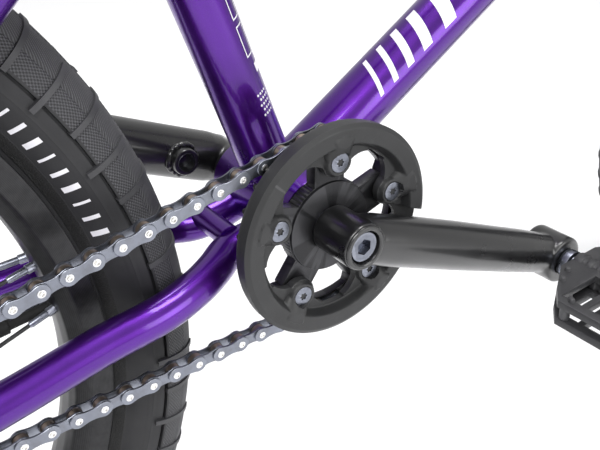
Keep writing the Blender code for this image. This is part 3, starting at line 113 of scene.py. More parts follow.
# ------------------------------------------------------------------ node materials
class Shader:
    """A Principled material with short calls for the nodes that feed it."""

    def __init__(self, name, colour, roughness, metallic=0.0, **extra):
        self.material = bpy.data.materials.new(name)
        self.material.use_nodes = True
        self.tree = self.material.node_tree
        self.main = self.tree.nodes["Principled BSDF"]
        self.main.inputs["Base Color"].default_value = (*colour, 1.0)
        self.main.inputs["Roughness"].default_value = roughness
        self.main.inputs["Metallic"].default_value = metallic
        for key, value in extra.items():
            self.main.inputs[key.replace("_", " ")].default_value = value
        self.place = self.node("ShaderNodeTexCoord").outputs["Object"]

    def node(self, kind, **settings):
        made = self.tree.nodes.new(kind)
        for key, value in settings.items():
            setattr(made, key, value)
        return made

    def link(self, source, target):
        self.tree.links.new(source, target)

    def math(self, operation, first, second=0.0, third=None):
        made = self.node("ShaderNodeMath", operation=operation)
        for slot, value in zip(made.inputs, (first, second, third)):
            if isinstance(value, (int, float)):
                slot.default_value = value
            elif value is not None:
                self.link(value, slot)
        return made.outputs[0]

    def noise(self, scale, detail=3.0, stretch=(1.0, 1.0, 1.0), roughness=0.55):
        mapping = self.node("ShaderNodeMapping")
        mapping.inputs["Scale"].default_value = stretch
        self.link(self.place, mapping.inputs["Vector"])
        made = self.node("ShaderNodeTexNoise")
        made.inputs["Scale"].default_value = scale
        made.inputs["Detail"].default_value = detail
        made.inputs["Roughness"].default_value = roughness
        self.link(mapping.outputs["Vector"], made.inputs["Vector"])
        return made.outputs["Fac"]

    def cells(self, scale, feature="F1"):
        made = self.node("ShaderNodeTexVoronoi", feature=feature)
        made.inputs["Scale"].default_value = scale
        self.link(self.place, made.inputs["Vector"])
        return made

    def spread(self, value, low, high, start=0.0, end=1.0):
        made = self.node("ShaderNodeMapRange")
        made.inputs["From Min"].default_value = low
        made.inputs["From Max"].default_value = high
        made.inputs["To Min"].default_value = start
        made.inputs["To Max"].default_value = end
        self.link(value, made.inputs["Value"])
        return made.outputs["Result"]

    def mix(self, share, first, second):
        made = self.node("ShaderNodeMix", data_type="RGBA")
        for slot, value in ((0, share), (6, first), (7, second)):
            if isinstance(value, tuple):
                made.inputs[slot].default_value = (*value, 1.0)
            elif isinstance(value, (int, float)):
                made.inputs[slot].default_value = value
            else:
                self.link(value, made.inputs[slot])
        return made.outputs[2]

    def colour(self, source):
        self.link(source, self.main.inputs["Base Color"])

    def roughness(self, source):
        self.link(source, self.main.inputs["Roughness"])

    def bump(self, height, distance, strength=1.0):
        made = self.node("ShaderNodeBump")
        made.inputs["Distance"].default_value = distance
        made.inputs["Strength"].default_value = strength
        self.link(height, made.inputs["Height"])
        previous = self.main.inputs["Normal"].links
        if previous:
            self.link(previous[0].from_socket, made.inputs["Normal"])
        self.link(made.outputs["Normal"], self.main.inputs["Normal"])

    def edges(self, low=0.52, high=0.60):
        """1 along convex edges, 0 elsewhere."""
        return self.spread(self.node("ShaderNodeNewGeometry").outputs["Pointiness"], low, high)

    def from_axle(self, centre):
        """Offset from the middle of an axle, as X, Y and Z outputs."""
        apart = self.node("ShaderNodeVectorMath", operation="SUBTRACT")
        apart.inputs[1].default_value = centre
        self.link(self.place, apart.inputs[0])
        parts = self.node("ShaderNodeSeparateXYZ")
        self.link(apart.outputs[0], parts.inputs[0])
        return parts.outputs

    def radius(self, offset):
        """Distance from the axle line, in metres."""
        square = self.math("MULTIPLY", offset["X"], offset["X"])
        return self.math("SQRT", self.math("MULTIPLY_ADD", offset["Z"], offset["Z"], square))


def candy_paint():
    """Translucent metallic purple under clear lacquer, with fine flake and slow colour drift."""
    s = Shader("purple_candy", (0.062, 0.006, 0.200), 0.30, 0.88, Coat_Weight=0.55, Coat_Roughness=0.07)
    drift = s.spread(s.noise(9.0, 2.0), 0.35, 0.65)
    base = s.mix(drift, (0.052, 0.004, 0.165), (0.078, 0.008, 0.235))
    flake = s.spread(s.cells(2600.0).outputs["Distance"], 0.0, 0.45, 1.0, 0.0)
    s.colour(s.mix(s.math("MULTIPLY", flake, 0.16), base, (0.22, 0.05, 0.55)))
    s.roughness(s.spread(s.noise(60.0, 4.0), 0.3, 0.7, 0.26, 0.36))
    s.bump(s.noise(1500.0, 2.0), 0.00002, 0.5)
    s.bump(s.noise(55.0, 2.0), 0.00006, 0.35)
    return s.material


def gloss_black():
    """Black stove enamel with light orange peel and a few dust nibs."""
    s = Shader("black_enamel", (0.006, 0.006, 0.007), 0.30, 0.0, Coat_Weight=0.5, Coat_Roughness=0.16)
    s.colour(s.mix(s.edges(), (0.0055, 0.0055, 0.006), (0.020, 0.020, 0.021)))
    s.roughness(s.spread(s.noise(45.0, 4.0), 0.3, 0.7, 0.26, 0.36))
    s.bump(s.noise(170.0, 2.0), 0.00006, 0.35)
    return s.material


def anodised(name, colour, roughness, lines=(1.0, 60.0, 1.0)):
    """Anodised aluminium with faint turning lines and lighter edges."""
    s = Shader(name, colour, roughness, 0.65)
    streak = s.noise(40.0, 4.0, lines)
    lighter = tuple(2.6 * c + 0.01 for c in colour)
    base = s.mix(s.spread(streak, 0.3, 0.7, 0.0, 0.5), colour, tuple(1.8 * c for c in colour))
    s.colour(s.mix(s.edges(), base, lighter))
    s.roughness(s.spread(streak, 0.3, 0.7, roughness - 0.08, roughness + 0.10))
    s.bump(streak, 0.00005, 0.3)
    return s.material


def wheel_metal(name, colour, centre):
    """Rim metal, brushed round the axle."""
    s = Shader(name, colour, 0.36, 0.8)
    rings = s.math("SINE", s.math("MULTIPLY", s.radius(s.from_axle(centre)), 9000.0))
    grain = s.math("ADD", s.math("MULTIPLY", rings, 0.18), s.noise(220.0, 4.0))
    s.colour(s.mix(s.spread(grain, 0.2, 0.8), colour, tuple(1.9 * c for c in colour)))
    s.roughness(s.spread(s.noise(30.0), 0.3, 0.7, 0.30, 0.40))
    s.bump(grain, 0.00002, 0.4)
    return s.material


def nylon(name, colour, roughness, grain=900.0, depth=0.00009):
    """Moulded plastic with a fine spark-eroded grain and slight scuffs."""
    s = Shader(name, colour, roughness, 0.0, Specular_IOR_Level=0.45)
    scuff = s.spread(s.noise(140.0, 6.0, (1.0, 1.0, 1.0), 0.7), 0.56, 0.72)
    base = s.mix(scuff, colour, tuple(1.35 * c + 0.004 for c in colour))
    s.colour(s.mix(s.edges(0.53, 0.62), base, tuple(2.2 * c + 0.012 for c in colour)))
    s.roughness(s.spread(s.noise(70.0, 3.0), 0.3, 0.7, roughness - 0.09, roughness + 0.07))
    s.bump(s.noise(grain, 3.0), depth, 0.55)
    return s.material


def steel(name, colour, roughness, tint=None):
    """Machined or pressed steel with oil stains, rub marks and brighter edges."""
    s = Shader(name, colour, roughness, 1.0)
    stain = s.spread(s.noise(210.0, 5.0), 0.42, 0.62)
    base = s.mix(s.math("MULTIPLY", stain, 0.6), colour, tint or tuple(0.6 * c for c in colour))
    s.colour(s.mix(s.edges(0.52, 0.58), base, tuple(min(1.6 * c + 0.05, 0.8) for c in colour)))
    s.roughness(s.spread(s.noise(130.0, 5.0), 0.3, 0.7, roughness - 0.10, roughness + 0.14))
    s.bump(s.noise(600.0, 3.0, (1.0, 6.0, 1.0)), 0.00004, 0.5)
    return s.material


def tyre_rubber(name, centre):
    """Tyre rubber: slanted file lines on the tread, a knurled strip by the bead, uneven bloom."""
    s = Shader(name, (0.024, 0.024, 0.026), 0.60, 0.0, Specular_IOR_Level=0.40)
    file_turns, file_slope = 720.0, 3300.0
    offset = s.from_axle(centre)
    radius = s.radius(offset)
    turn = s.math("ARCTAN2", offset["Z"], offset["X"])
    across = s.math("MULTIPLY", s.math("SUBTRACT", s.math("ABSOLUTE", offset["Y"]), radius), file_slope)
    first = s.math("SINE", s.math("MULTIPLY_ADD", turn, file_turns, across))
    second = s.math("SINE", s.math("SUBTRACT", across, s.math("MULTIPLY", turn, file_turns)))
    tread = s.spread(radius, 0.2366, 0.2372)
    by_shoulder = s.math("MULTIPLY", tread, s.spread(radius, 0.2455, 0.2465, 1.0, 0.0))
    lines = s.math("ADD", s.math("MULTIPLY", first, tread), s.math("MULTIPLY", second, by_shoulder))
    strip = s.math("MULTIPLY", s.spread(radius, 0.2115, 0.2120), s.spread(radius, 0.2165, 0.2170, 1.0, 0.0))
    bloom = s.spread(s.noise(45.0, 5.0), 0.35, 0.75)
    wall = s.mix(bloom, (0.012, 0.012, 0.0135), (0.020, 0.020, 0.022))
    lit = s.mix(s.math("MULTIPLY", tread, s.spread(lines, -1.0, 1.0)), wall, (0.070, 0.070, 0.076))
    s.colour(s.mix(strip, lit, (0.006, 0.006, 0.006)))
    s.roughness(s.spread(s.noise(90.0, 4.0), 0.3, 0.7, 0.50, 0.70))
    s.bump(lines, 0.00016, 0.6)
    s.bump(s.noise(900.0, 3.0), 0.00007, 0.5)
    s.bump(s.math("MULTIPLY", strip, s.noise(1300.0, 1.0)), 0.0004, 0.8)
    return s.material


def bar_rubber():
    """Smooth worn rubber of the tread bars."""
    s = Shader("tread_bar_rubber", (0.036, 0.036, 0.039), 0.52, 0.0, Specular_IOR_Level=0.45)
    s.colour(s.mix(s.spread(s.noise(70.0, 5.0), 0.35, 0.75), (0.028, 0.028, 0.031), (0.050, 0.050, 0.054)))
    s.bump(s.noise(900.0, 3.0), 0.00007, 0.5)
    return s.material


def soft_rubber():
    """Matt rubber of the grips and valves."""
    s = Shader("grip_rubber_fine", (0.012, 0.012, 0.012), 0.72, 0.0, Specular_IOR_Level=0.3)
    s.colour(s.mix(s.spread(s.noise(60.0, 5.0), 0.35, 0.75), (0.010, 0.010, 0.010), (0.022, 0.022, 0.022)))
    s.bump(s.noise(800.0, 2.0), 0.00008, 0.6)
    return s.material


def canvas():
    """Woven black seat cover: two crossing sets of threads."""
    s = Shader("seat_canvas", (0.013, 0.013, 0.014), 0.85, 0.0, Sheen_Weight=0.25)
    parts = s.node("ShaderNodeSeparateXYZ")
    s.link(s.place, parts.inputs[0])
    warp = s.math("SINE", s.math("MULTIPLY", parts.outputs["X"], TURN / (0.9 * MM)))
    weft = s.math("SINE", s.math("MULTIPLY", parts.outputs["Y"], TURN / (0.9 * MM)))
    weave = s.math("MULTIPLY", warp, weft)
    s.colour(s.mix(s.spread(weave, -1.0, 1.0), (0.009, 0.009, 0.010), (0.030, 0.030, 0.032)))
    s.roughness(s.spread(s.noise(50.0), 0.3, 0.7, 0.78, 0.92))
    s.bump(weave, 0.00022, 0.7)
    return s.material


def vinyl():
    """Off-white sticker film."""
    s = Shader("white_vinyl", (0.72, 0.71, 0.74), 0.34, 0.0, Coat_Weight=0.4)
    s.colour(s.mix(s.spread(s.noise(40.0), 0.35, 0.65), (0.66, 0.65, 0.69), (0.78, 0.77, 0.80)))
    s.bump(s.noise(700.0), 0.00002, 0.4)
    return s.material


def thread():
    """Piping and seam thread of the seat."""
    s = Shader("seam_thread", (0.030, 0.030, 0.032), 0.8)
    s.colour(s.mix(s.spread(s.noise(900.0), 0.3, 0.7), (0.018, 0.018, 0.019), (0.050, 0.050, 0.053)))
    s.bump(s.noise(1500.0, 2.0), 0.0001, 0.8)
    return s.material


MATERIALS = {
    "paint": candy_paint(),
    "enamel": gloss_black(),
    "alloy": anodised("black_anodised", (0.014, 0.014, 0.015), 0.34),
    "sprocket": anodised("black_machined", (0.016, 0.016, 0.0175), 0.36, (30.0, 1.0, 30.0)),
    "rear_rim": wheel_metal("rear_rim_metal", (0.021, 0.021, 0.022), REAR_AXLE),
    "front_rim": wheel_metal("front_rim_metal", (0.021, 0.021, 0.022), FRONT_AXLE),
    "nylon": nylon("guard_nylon", (0.0165, 0.0168, 0.0175), 0.50),
    "pedal": nylon("pedal_nylon", (0.024, 0.024, 0.026), 0.48, 500.0, 0.00014),
    "steel": steel("bolt_steel", (0.20, 0.212, 0.25), 0.32),
    "plate": steel("chain_plate", (0.150, 0.160, 0.190), 0.36, (0.080, 0.078, 0.082)),
    "pin": steel("chain_pin", (0.70, 0.68, 0.64), 0.26),
    "roller": steel("chain_roller", (0.20, 0.155, 0.120), 0.38, (0.075, 0.055, 0.042)),
    "dark_steel": steel("dark_steel_fine", (0.10, 0.105, 0.115), 0.36),
    "spoke": steel("black_spoke_fine", (0.020, 0.020, 0.022), 0.34),
    "rear_tyre": tyre_rubber("rear_tyre_rubber", REAR_AXLE),
    "front_tyre": tyre_rubber("front_tyre_rubber", FRONT_AXLE),
    "tread_bar": bar_rubber(),
    "grip": soft_rubber(),
    "canvas": canvas(),
    "thread": thread(),
    "vinyl": vinyl(),
}


# ------------------------------------------------------------------ mesh tools
def piece(name, bm, look, body, replaces=(), sharp=35.0):
    """Smooth-shaded object on a body, which may stand for CAD nodes."""
    bmesh.ops.recalc_face_normals(bm, faces=bm.faces)
    mesh = bpy.data.meshes.new(name)
    bm.to_mesh(mesh)
    bm.free()
    return finish_piece(name, mesh, look, body, replaces, sharp)


def finish_piece(name, mesh, look, body, replaces=(), sharp=35.0):
    """The same for a finished mesh; edges sharper than the angle stay crisp."""
    mesh.materials.clear()
    mesh.materials.append(MATERIALS[look])
    mesh.shade_smooth()
    mesh.set_sharp_from_angle(angle=math.radians(sharp))
    thing = bpy.data.objects.new(name, mesh)
    bpy.context.scene.collection.objects.link(thing)
    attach(thing, body)
    if replaces:
        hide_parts(*replaces)
    return thing


def combine(target, other):
    """Move one mesh's geometry into another."""
    scrap = bpy.data.meshes.new("scrap")
    other.to_mesh(scrap)
    other.free()
    target.from_mesh(scrap)
    bpy.data.meshes.remove(scrap)


def solid_of(bm, name="shape"):
    """Working object for the modifiers; evaluated() removes it."""
    bmesh.ops.recalc_face_normals(bm, faces=bm.faces)
    mesh = bpy.data.meshes.new(name)
    bm.to_mesh(mesh)
    bm.free()
    thing = bpy.data.objects.new(name, mesh)
    bpy.context.scene.collection.objects.link(thing)
    return thing


def evaluated(thing, *leftovers):
    """Mesh with its modifiers applied; the working objects are removed."""
    bpy.context.view_layer.update()
    graph = bpy.context.evaluated_depsgraph_get()
    mesh = bpy.data.meshes.new_from_object(thing.evaluated_get(graph))
    for scrap in (thing, *leftovers):
        bpy.data.objects.remove(scrap)
    return mesh


def carved(bm, cuts, joins=(), bevel=0.0):
    """Mesh cut and joined by other solids, with its sharp edges broken by a small bevel."""
    base = solid_of(bm)
    tools = []
    for group, operation in ((joins, "UNION"), (cuts, "DIFFERENCE")):
        for other in group:
            tool = solid_of(other)
            step = base.modifiers.new("step", "BOOLEAN")
            step.operation = operation
            step.object = tool
            tools.append(tool)
    if bevel:
        step = base.modifiers.new("edge", "BEVEL")
        step.width = bevel
        step.segments = 2
        step.limit_method = "ANGLE"
        step.angle_limit = math.radians(38.0)
    return evaluated(base, *tools)


def side_axes(direction):
    """Two unit vectors square to a direction and to each other."""
    across = LEFT if abs(direction.dot(LEFT)) < 0.95 else ZUP
    second = direction.cross(across).normalized()
    return second.cross(direction).normalized(), second


def loop_faces(bm, first, second):
    """Quads between two closed rings of equal length."""
    count = len(first)
    for i in range(count):
        j = (i + 1) % count
        bm.faces.new((first[i], first[j], second[j], second[i]))


def flowing(knots, steps=8):
    """Smooth curve through the knots of a path."""
    out = []
    count = len(knots)
    for i in range(count - 1):
        p0, p1 = knots[max(i - 1, 0)], knots[i]
        p2, p3 = knots[i + 1], knots[min(i + 2, count - 1)]
        for k in range(steps):
            t = k / steps
            out.append(0.5 * (2.0 * p1 + (p2 - p0) * t + (2.0 * p0 - 5.0 * p1 + 4.0 * p2 - p3) * t * t
                              + (3.0 * p1 - p0 - 3.0 * p2 + p3) * t ** 3))
    out.append(knots[-1])
    return out


def sweep(points, radii, segments=48, hollow=0.0):
    """Round bar along a path; hollow gives the wall of a tube with open ends."""
    bm = bmesh.new()
    count = len(points)
    radii = list(radii) if isinstance(radii, (list, tuple)) else [radii] * count
    first, _ = side_axes((points[1] - points[0]).normalized())
    walls = ([], [])
    for i, centre in enumerate(points):
        tangent = (points[min(i + 1, count - 1)] - points[max(i - 1, 0)]).normalized()
        first = (first - tangent * first.dot(tangent)).normalized()
        second = tangent.cross(first)
        for rings, cut in zip(walls, (0.0, hollow)):
            if rings is walls[1] and not hollow:
                continue
            ring = []
            for k in range(segments):
                a = TURN * k / segments
                spot = centre + (radii[i] - cut) * (math.cos(a) * first + math.sin(a) * second)
                ring.append(bm.verts.new(spot))
            rings.append(ring)
    for rings in walls:
        for a, b in zip(rings, rings[1:]):
            loop_faces(bm, a, b)
    if hollow:
        loop_faces(bm, walls[0][0], walls[1][0])
        loop_faces(bm, walls[0][-1], walls[1][-1])
    else:
        bm.faces.new(walls[0][0])
        bm.faces.new(walls[0][-1])
    return bm


def softened(profile, width, closed):
    """Profile with each corner rounded a little."""
    if not width:
        return profile
    out = []
    count = len(profile)
    for i, corner in enumerate(profile):
        here = Vector(corner)
        if not closed and i in (0, count - 1):
            out.append(here)
            continue
        before, after = Vector(profile[i - 1]), Vector(profile[(i + 1) % count])
        a = here + (before - here).normalized() * min(width, 0.35 * (before - here).length)
        c = here + (after - here).normalized() * min(width, 0.35 * (after - here).length)
        out += [a, 0.25 * a + 0.5 * here + 0.25 * c, c]
    return out


def lathe(profile, origin, axis=LEFT, segments=72, closed=True, soft=0.4 * MM):
    """Turned solid; the profile's points are (along the axis, radius) in millimetres."""
    bm = bmesh.new()
    first, second = side_axes(axis)
    rings = []
    for along, radius in softened([(a * MM, r * MM) for a, r in profile], soft, closed):
        ring = []
        for k in range(segments):
            a = TURN * k / segments
            spot = origin + along * axis + radius * (math.cos(a) * first + math.sin(a) * second)
            ring.append(bm.verts.new(spot))
        rings.append(ring)
    for a, b in zip(rings, rings[1:]):
        loop_faces(bm, a, b)
    if closed:
        loop_faces(bm, rings[-1], rings[0])
    else:
        bm.faces.new(rings[0])
        bm.faces.new(rings[-1])
    return bm


def prism(outline, low, high, chamfer=0.0):
    """Solid between two levels of Y; the outline holds (x, z), the near side may be chamfered."""
    bm = bmesh.new()
    levels = [(low, chamfer), (low + chamfer, 0.0), (high - chamfer, 0.0), (high, chamfer)]
    if not chamfer:
        levels = [(low, 0.0), (high, 0.0)]
    count = len(outline)
    rings = []
    for level, inset in levels:
        ring = []
        for i in range(count):
            before = Vector(outline[i]) - Vector(outline[i - 1])
            after = Vector(outline[(i + 1) % count]) - Vector(outline[i])
            mean = (before.normalized() + after.normalized()).normalized()
            x = outline[i][0] - inset * mean.y
            z = outline[i][1] + inset * mean.x
            ring.append(bm.verts.new((x, level, z)))
        rings.append(ring)
    for a, b in zip(rings, rings[1:]):
        loop_faces(bm, a, b)
    bm.faces.new(rings[0])
    bm.faces.new(rings[-1])
    return bm


def box_mesh(centre, axes, sizes):
    """Box along its own three axes."""
    bm = bmesh.new()
    corners = []
    for a in (-0.5, 0.5):
        for b in (-0.5, 0.5):
            for c in (-0.5, 0.5):
                spot = centre.copy()
                for share, axis, size in zip((a, b, c), axes, sizes):
                    spot += share * size * axis
                corners.append(bm.verts.new(spot))
    for face in ((0, 1, 3, 2), (4, 6, 7, 5), (0, 4, 5, 1), (2, 3, 7, 6), (0, 2, 6, 4), (1, 5, 7, 3)):
        bm.faces.new([corners[i] for i in face])
    return bm


def across_bar(centre, half, radius, segments=48):
    """Round bar or bore along Y, centred on a place."""
    return sweep([centre - half * LEFT, centre + half * LEFT], radius, segments)


def right_bore(centre, radius, segments):
    """Bore on the sprocket's side of the bike."""
    return sweep([centre + y * LEFT for y in RIGHT_CUT], radius, segments)


def smoothstep(low, high, value):
    """Smooth rise from 0 at low to 1 at high."""
    t = min(max((value - low) / (high - low), 0.0), 1.0)
    return t * t * (3.0 - 2.0 * t)


def weld(bm, base, direction, radius, other_base, other_axis, other_radius, bead=2.0 * MM):
    """Rippled bead where one tube's surface meets another's."""
    e1, e2 = side_axes(direction)
    steps, steps_per_ripple, ring_size = 132, 3.0, 10
    bead_height, bead_width = 0.62, 1.25
    spots = []
    outs = []
    for k in range(steps):
        a = TURN * k / steps
        out = math.cos(a) * e1 + math.sin(a) * e2
        start = base + radius * out - other_base
        w = start - start.dot(other_axis) * other_axis
        d = direction - direction.dot(other_axis) * other_axis
        inside = max(w.dot(d) ** 2 - d.dot(d) * (w.dot(w) - other_radius ** 2), 0.0)
        t = (-w.dot(d) + math.sqrt(inside)) / d.dot(d)
        spots.append(base + radius * out + t * direction)
        outs.append(out)
    rings = []
    for k in range(steps):
        tangent = (spots[(k + 1) % steps] - spots[k - 1]).normalized()
        out = (outs[k] - tangent * outs[k].dot(tangent)).normalized()
        over = tangent.cross(out)
        size = bead * (0.94 + 0.10 * math.cos(TURN * k / steps_per_ripple))
        ring = []
        for j in range(ring_size):
            a = TURN * j / ring_size
            offset = bead_height * math.cos(a) * out + bead_width * math.sin(a) * over
            ring.append(bm.verts.new(spots[k] + size * offset))
        rings.append(ring)
    for k in range(steps):
        loop_faces(bm, rings[k], rings[(k + 1) % steps])


def blended(parts, voxel, rounds):
    """Several solids fused into one skin with rounded inner corners."""
    bm = parts[0]
    for other in parts[1:]:
        combine(bm, other)
    thing = solid_of(bm)
    step = thing.modifiers.new("fuse", "REMESH")
    step.mode = "VOXEL"
    step.voxel_size = voxel
    step = thing.modifiers.new("soft", "SMOOTH")
    step.factor = 0.5
    step.iterations = rounds
    return evaluated(thing)


# ------------------------------------------------------------------ frame
DOWN_ANGLE = math.radians(31.8)
DOWN_FORWARD = Vector((math.cos(DOWN_ANGLE), 0.0, math.sin(DOWN_ANGLE)))
DOWN_UP = Vector((-math.sin(DOWN_ANGLE), 0.0, math.cos(DOWN_ANGLE)))
DOWN_BASE = BB + 3.9 * MM * DOWN_UP
DOWN_LENGTH = (STEER_FOOT - DOWN_BASE).dot(STEER_FORWARD) / DOWN_FORWARD.dot(STEER_FORWARD)
DOWN_RADIUS = 17.0 * MM
SEAT_RADIUS = 14.3 * MM
TOP_RADIUS = 15.9 * MM
HEAD_RADIUS = 22.0 * MM
SHELL_RADIUS = 23.0 * MM
HEAD_START = 321.0   # along the steering axis, in millimetres
HEAD_END = 439.0
TOP_REAR = BB + 190.0 * MM * SEAT_UP
TOP_FRONT = steer(HEAD_END - 27.0)


def make_main_tubes():
    """Seat, down, top and head tubes, and the shell with its two bearings."""
    top = BB + 222.0 * MM * SEAT_UP
    piece("seat_tube_fine", sweep([BB + 12.0 * MM * SEAT_UP, top], SEAT_RADIUS, 72, 1.3 * MM),
          "paint", "frame", ["seat_tube"])
    line = [DOWN_BASE + 12.0 * MM * DOWN_FORWARD, DOWN_BASE + (DOWN_LENGTH - 0.006) * DOWN_FORWARD]
    piece("down_tube_fine", sweep(line, DOWN_RADIUS, 84), "paint", "frame", ["down_tube"])
    piece("top_tube_fine", sweep([TOP_REAR, TOP_FRONT], TOP_RADIUS, 72), "paint", "frame",
          ["top_tube"])
    length = HEAD_END - HEAD_START
    profile = [(0.0, 22.0), (0.0, 20.9), (7.2, 20.9), (7.2, 18.0), (length - 7.2, 18.0),
               (length - 7.2, 20.9), (length, 20.9), (length, 22.0)]
    piece("head_tube_fine", lathe(profile, steer(HEAD_START), STEER_UP), "paint", "frame",
          ["head_tube"])
    profile = [(-34.0, 23.0), (34.0, 23.0), (34.0, 20.6), (23.0, 20.6), (23.0, 19.0), (-23.0, 19.0),
               (-23.0, 20.6), (-34.0, 20.6)]
    piece("bottom_bracket_shell_fine", lathe(profile, BB, soft=0.7 * MM), "paint", "frame",
          ["bottom_bracket_shell"])
    for side, word in SIDES:
        profile = sided(side, [(35.9, 11.4), (35.9, 14.0), (35.4, 14.3), (35.4, 18.6),
                               (35.9, 18.9), (35.9, 20.2), (23.4, 20.2), (23.4, 11.4)])
        piece("bb_bearing_fine_" + word, lathe(profile, BB, soft=0.15 * MM), "dark_steel", "frame",
              ["bb_bearing_" + word])


def make_welds():
    """Beads where the main tubes meet."""
    bm = bmesh.new()
    weld(bm, BB, SEAT_UP, SEAT_RADIUS, BB, LEFT, SHELL_RADIUS)
    weld(bm, DOWN_BASE, DOWN_FORWARD, DOWN_RADIUS, BB, LEFT, SHELL_RADIUS)
    head = (STEER_FOOT, STEER_UP, HEAD_RADIUS)
    weld(bm, TOP_FRONT, (TOP_REAR - TOP_FRONT).normalized(), TOP_RADIUS, *head)
    head_end = DOWN_BASE + DOWN_LENGTH * DOWN_FORWARD
    weld(bm, head_end, -DOWN_FORWARD, DOWN_RADIUS, *head)
    weld(bm, TOP_REAR, (TOP_FRONT - TOP_REAR).normalized(), TOP_RADIUS, BB, SEAT_UP, SEAT_RADIUS + 0.5 * MM)
    piece("frame_welds", bm, "paint", "frame")


def chainstay_path(side):
    """Knots from behind the shell, past the tyre, to the dropout."""
    stay = [(-8, 20, -5), (-30, 17.0, -9), (-46, 18.5, -11), (-60, 27, -12.5), (-76, 34.5, -14.2),
            (-98, 39.8, -16.5), (-130, 41.2, -19.5), (-176, 45.3, -24.6), (-240, 51, -29.5),
            (-304, 57.6, -35.6)]
    return mirrored([bb(*p) for p in stay], side)


def seatstay_path(side):
    """Knots from the seat tube, round the tyre, to the dropout."""
    stay = [(-70, 10.5, 178), (-88, 22, 173), (-112, 33, 161), (-142, 38, 138), (-220, 47.2, 66.2),
            (-308, 57.6, -14.8)]
    return mirrored([bb(*p) for p in stay], side)


def make_stays():
    """Chainstays, seatstays and the bridge between each pair."""
    for side, word in SIDES:
        path = flowing(chainstay_path(side))
        tail = len(path) - 9
        radii = [(9.5 - 1.5 * smoothstep(tail, len(path), i)) * MM for i in range(len(path))]
        piece("chainstay_fine_" + word, sweep(path, radii, 56), "paint", "frame",
              ["chainstay_" + word])
        path = flowing(seatstay_path(side))
        piece("seatstay_fine_" + word, sweep(path, 8.0 * MM, 48), "paint", "frame",
              ["seatstay_" + word])
    places = {"chainstay_bridge": (bb(-43.0, 0.0, -5.0), 6.5 * MM, 16.0 * MM),
              "seatstay_bridge": (bb(-112.0, 0.0, 161.0), 6.0 * MM, 30.0 * MM)}
    for name, (middle, radius, half) in places.items():
        bar = across_bar(middle, half, radius)
        vent_ends = [middle + Vector((-0.02, 3.0 * MM, -0.02)), middle + Vector((0.0, 3.0 * MM, 0.0))]
        vent = sweep(vent_ends, 1.6 * MM, 20)
        finish_piece(name + "_fine", carved(bar, [vent]), "paint", "frame", [name])


def make_dropouts():
    """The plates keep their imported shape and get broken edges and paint."""
    for _, word in SIDES:
        plate = frame["nodes"]["dropout_" + word]
        edge = plate.modifiers.new("edge", "BEVEL")
        edge.width = 0.8 * MM
        edge.segments = 3
        edge.limit_method = "ANGLE"
        edge.angle_limit = math.radians(40.0)
        for material_slot in plate.material_slots:
            material_slot.material = MATERIALS["paint"]
    bm = bmesh.new()
    for side, _ in SIDES:
        for path in (chainstay_path(side), seatstay_path(side)):
            tip, before = path[-1], path[-2]
            along = (tip - before).normalized()
            combine(bm, sweep([tip - 3.0 * MM * along, tip + 1.2 * MM * along], [8.6 * MM, 7.4 * MM], 32))
    piece("stay_tip_welds", bm, "paint", "frame")


def tube_patch(base, direction, radius, along, arc_from, arc_to, slant, wide):
    """Thin film on a tube: a slanted band, by distance along and angle around (0 faces -Y)."""
    _, up = side_axes(direction)
    up = up if up.z > 0 else -up
    bm = bmesh.new()
    columns, rows = 6, 22
    grid = []
    for i in range(rows + 1):
        share = i / rows
        a = arc_from + (arc_to - arc_from) * share
        out = math.cos(a) * -LEFT + math.sin(a) * up
        row = []
        for j in range(columns + 1):
            spot = base + (along + slant * share + wide * (j / columns - 0.5)) * direction
            row.append(bm.verts.new(spot + (radius + 0.12 * MM) * out))
        grid.append(row)
    for a, b in zip(grid, grid[1:]):
        for j in range(columns):
            bm.faces.new((a[j], a[j + 1], b[j + 1], b[j]))
    return bm


def make_graphics():
    """Plain stripes on the down tube, dots and bars on the seat tube."""
    bm = bmesh.new()
    tube = (DOWN_BASE, DOWN_FORWARD, DOWN_RADIUS)
    arc = (math.radians(18.0), math.radians(96.0))
    for along, wide in ((78.0, 3.0), (90.0, 4.0), (103.0, 5.5), (118.0, 7.5), (138.0, 10.0)):
        combine(bm, tube_patch(*tube, along * MM, *arc, 9.0 * MM, wide * MM))
    _, up = side_axes(SEAT_UP)
    up = up if up.x > 0 else -up
    for row in range(5):
        for column in range(4):
            along = (58.0 + 2.9 * row) * MM
            a = math.radians(14.0 + 8.0 * column + 4.0 * (row % 2))
            out = math.cos(a) * -LEFT + math.sin(a) * up
            spot = BB + along * SEAT_UP + (SEAT_RADIUS + 0.02 * MM) * out
            combine(bm, sweep([spot, spot + 0.12 * MM * out], 0.65 * MM, 14))
    rear, front = math.radians(24.0), math.radians(50.0)
    stroke = math.radians(2.6)
    tube = (BB, SEAT_UP, SEAT_RADIUS)
    combine(bm, tube_patch(*tube, 82.0 * MM, math.radians(38.0), math.radians(54.0), 0.0, 5.0 * MM))
    for start, end in ((90.0, 106.0), (110.0, 129.0), (133.0, 155.0)):
        for along in (start, end):
            combine(bm, tube_patch(*tube, along * MM, rear, front, 0.0, 0.7 * MM))
        middle, wide = 0.5 * (start + end) * MM, (end - start) * MM
        combine(bm, tube_patch(*tube, middle, rear, rear + stroke, 0.0, wide))
        combine(bm, tube_patch(*tube, middle, front - stroke, front, 0.0, wide))
    piece("frame_graphics", bm, "vinyl", "frame")


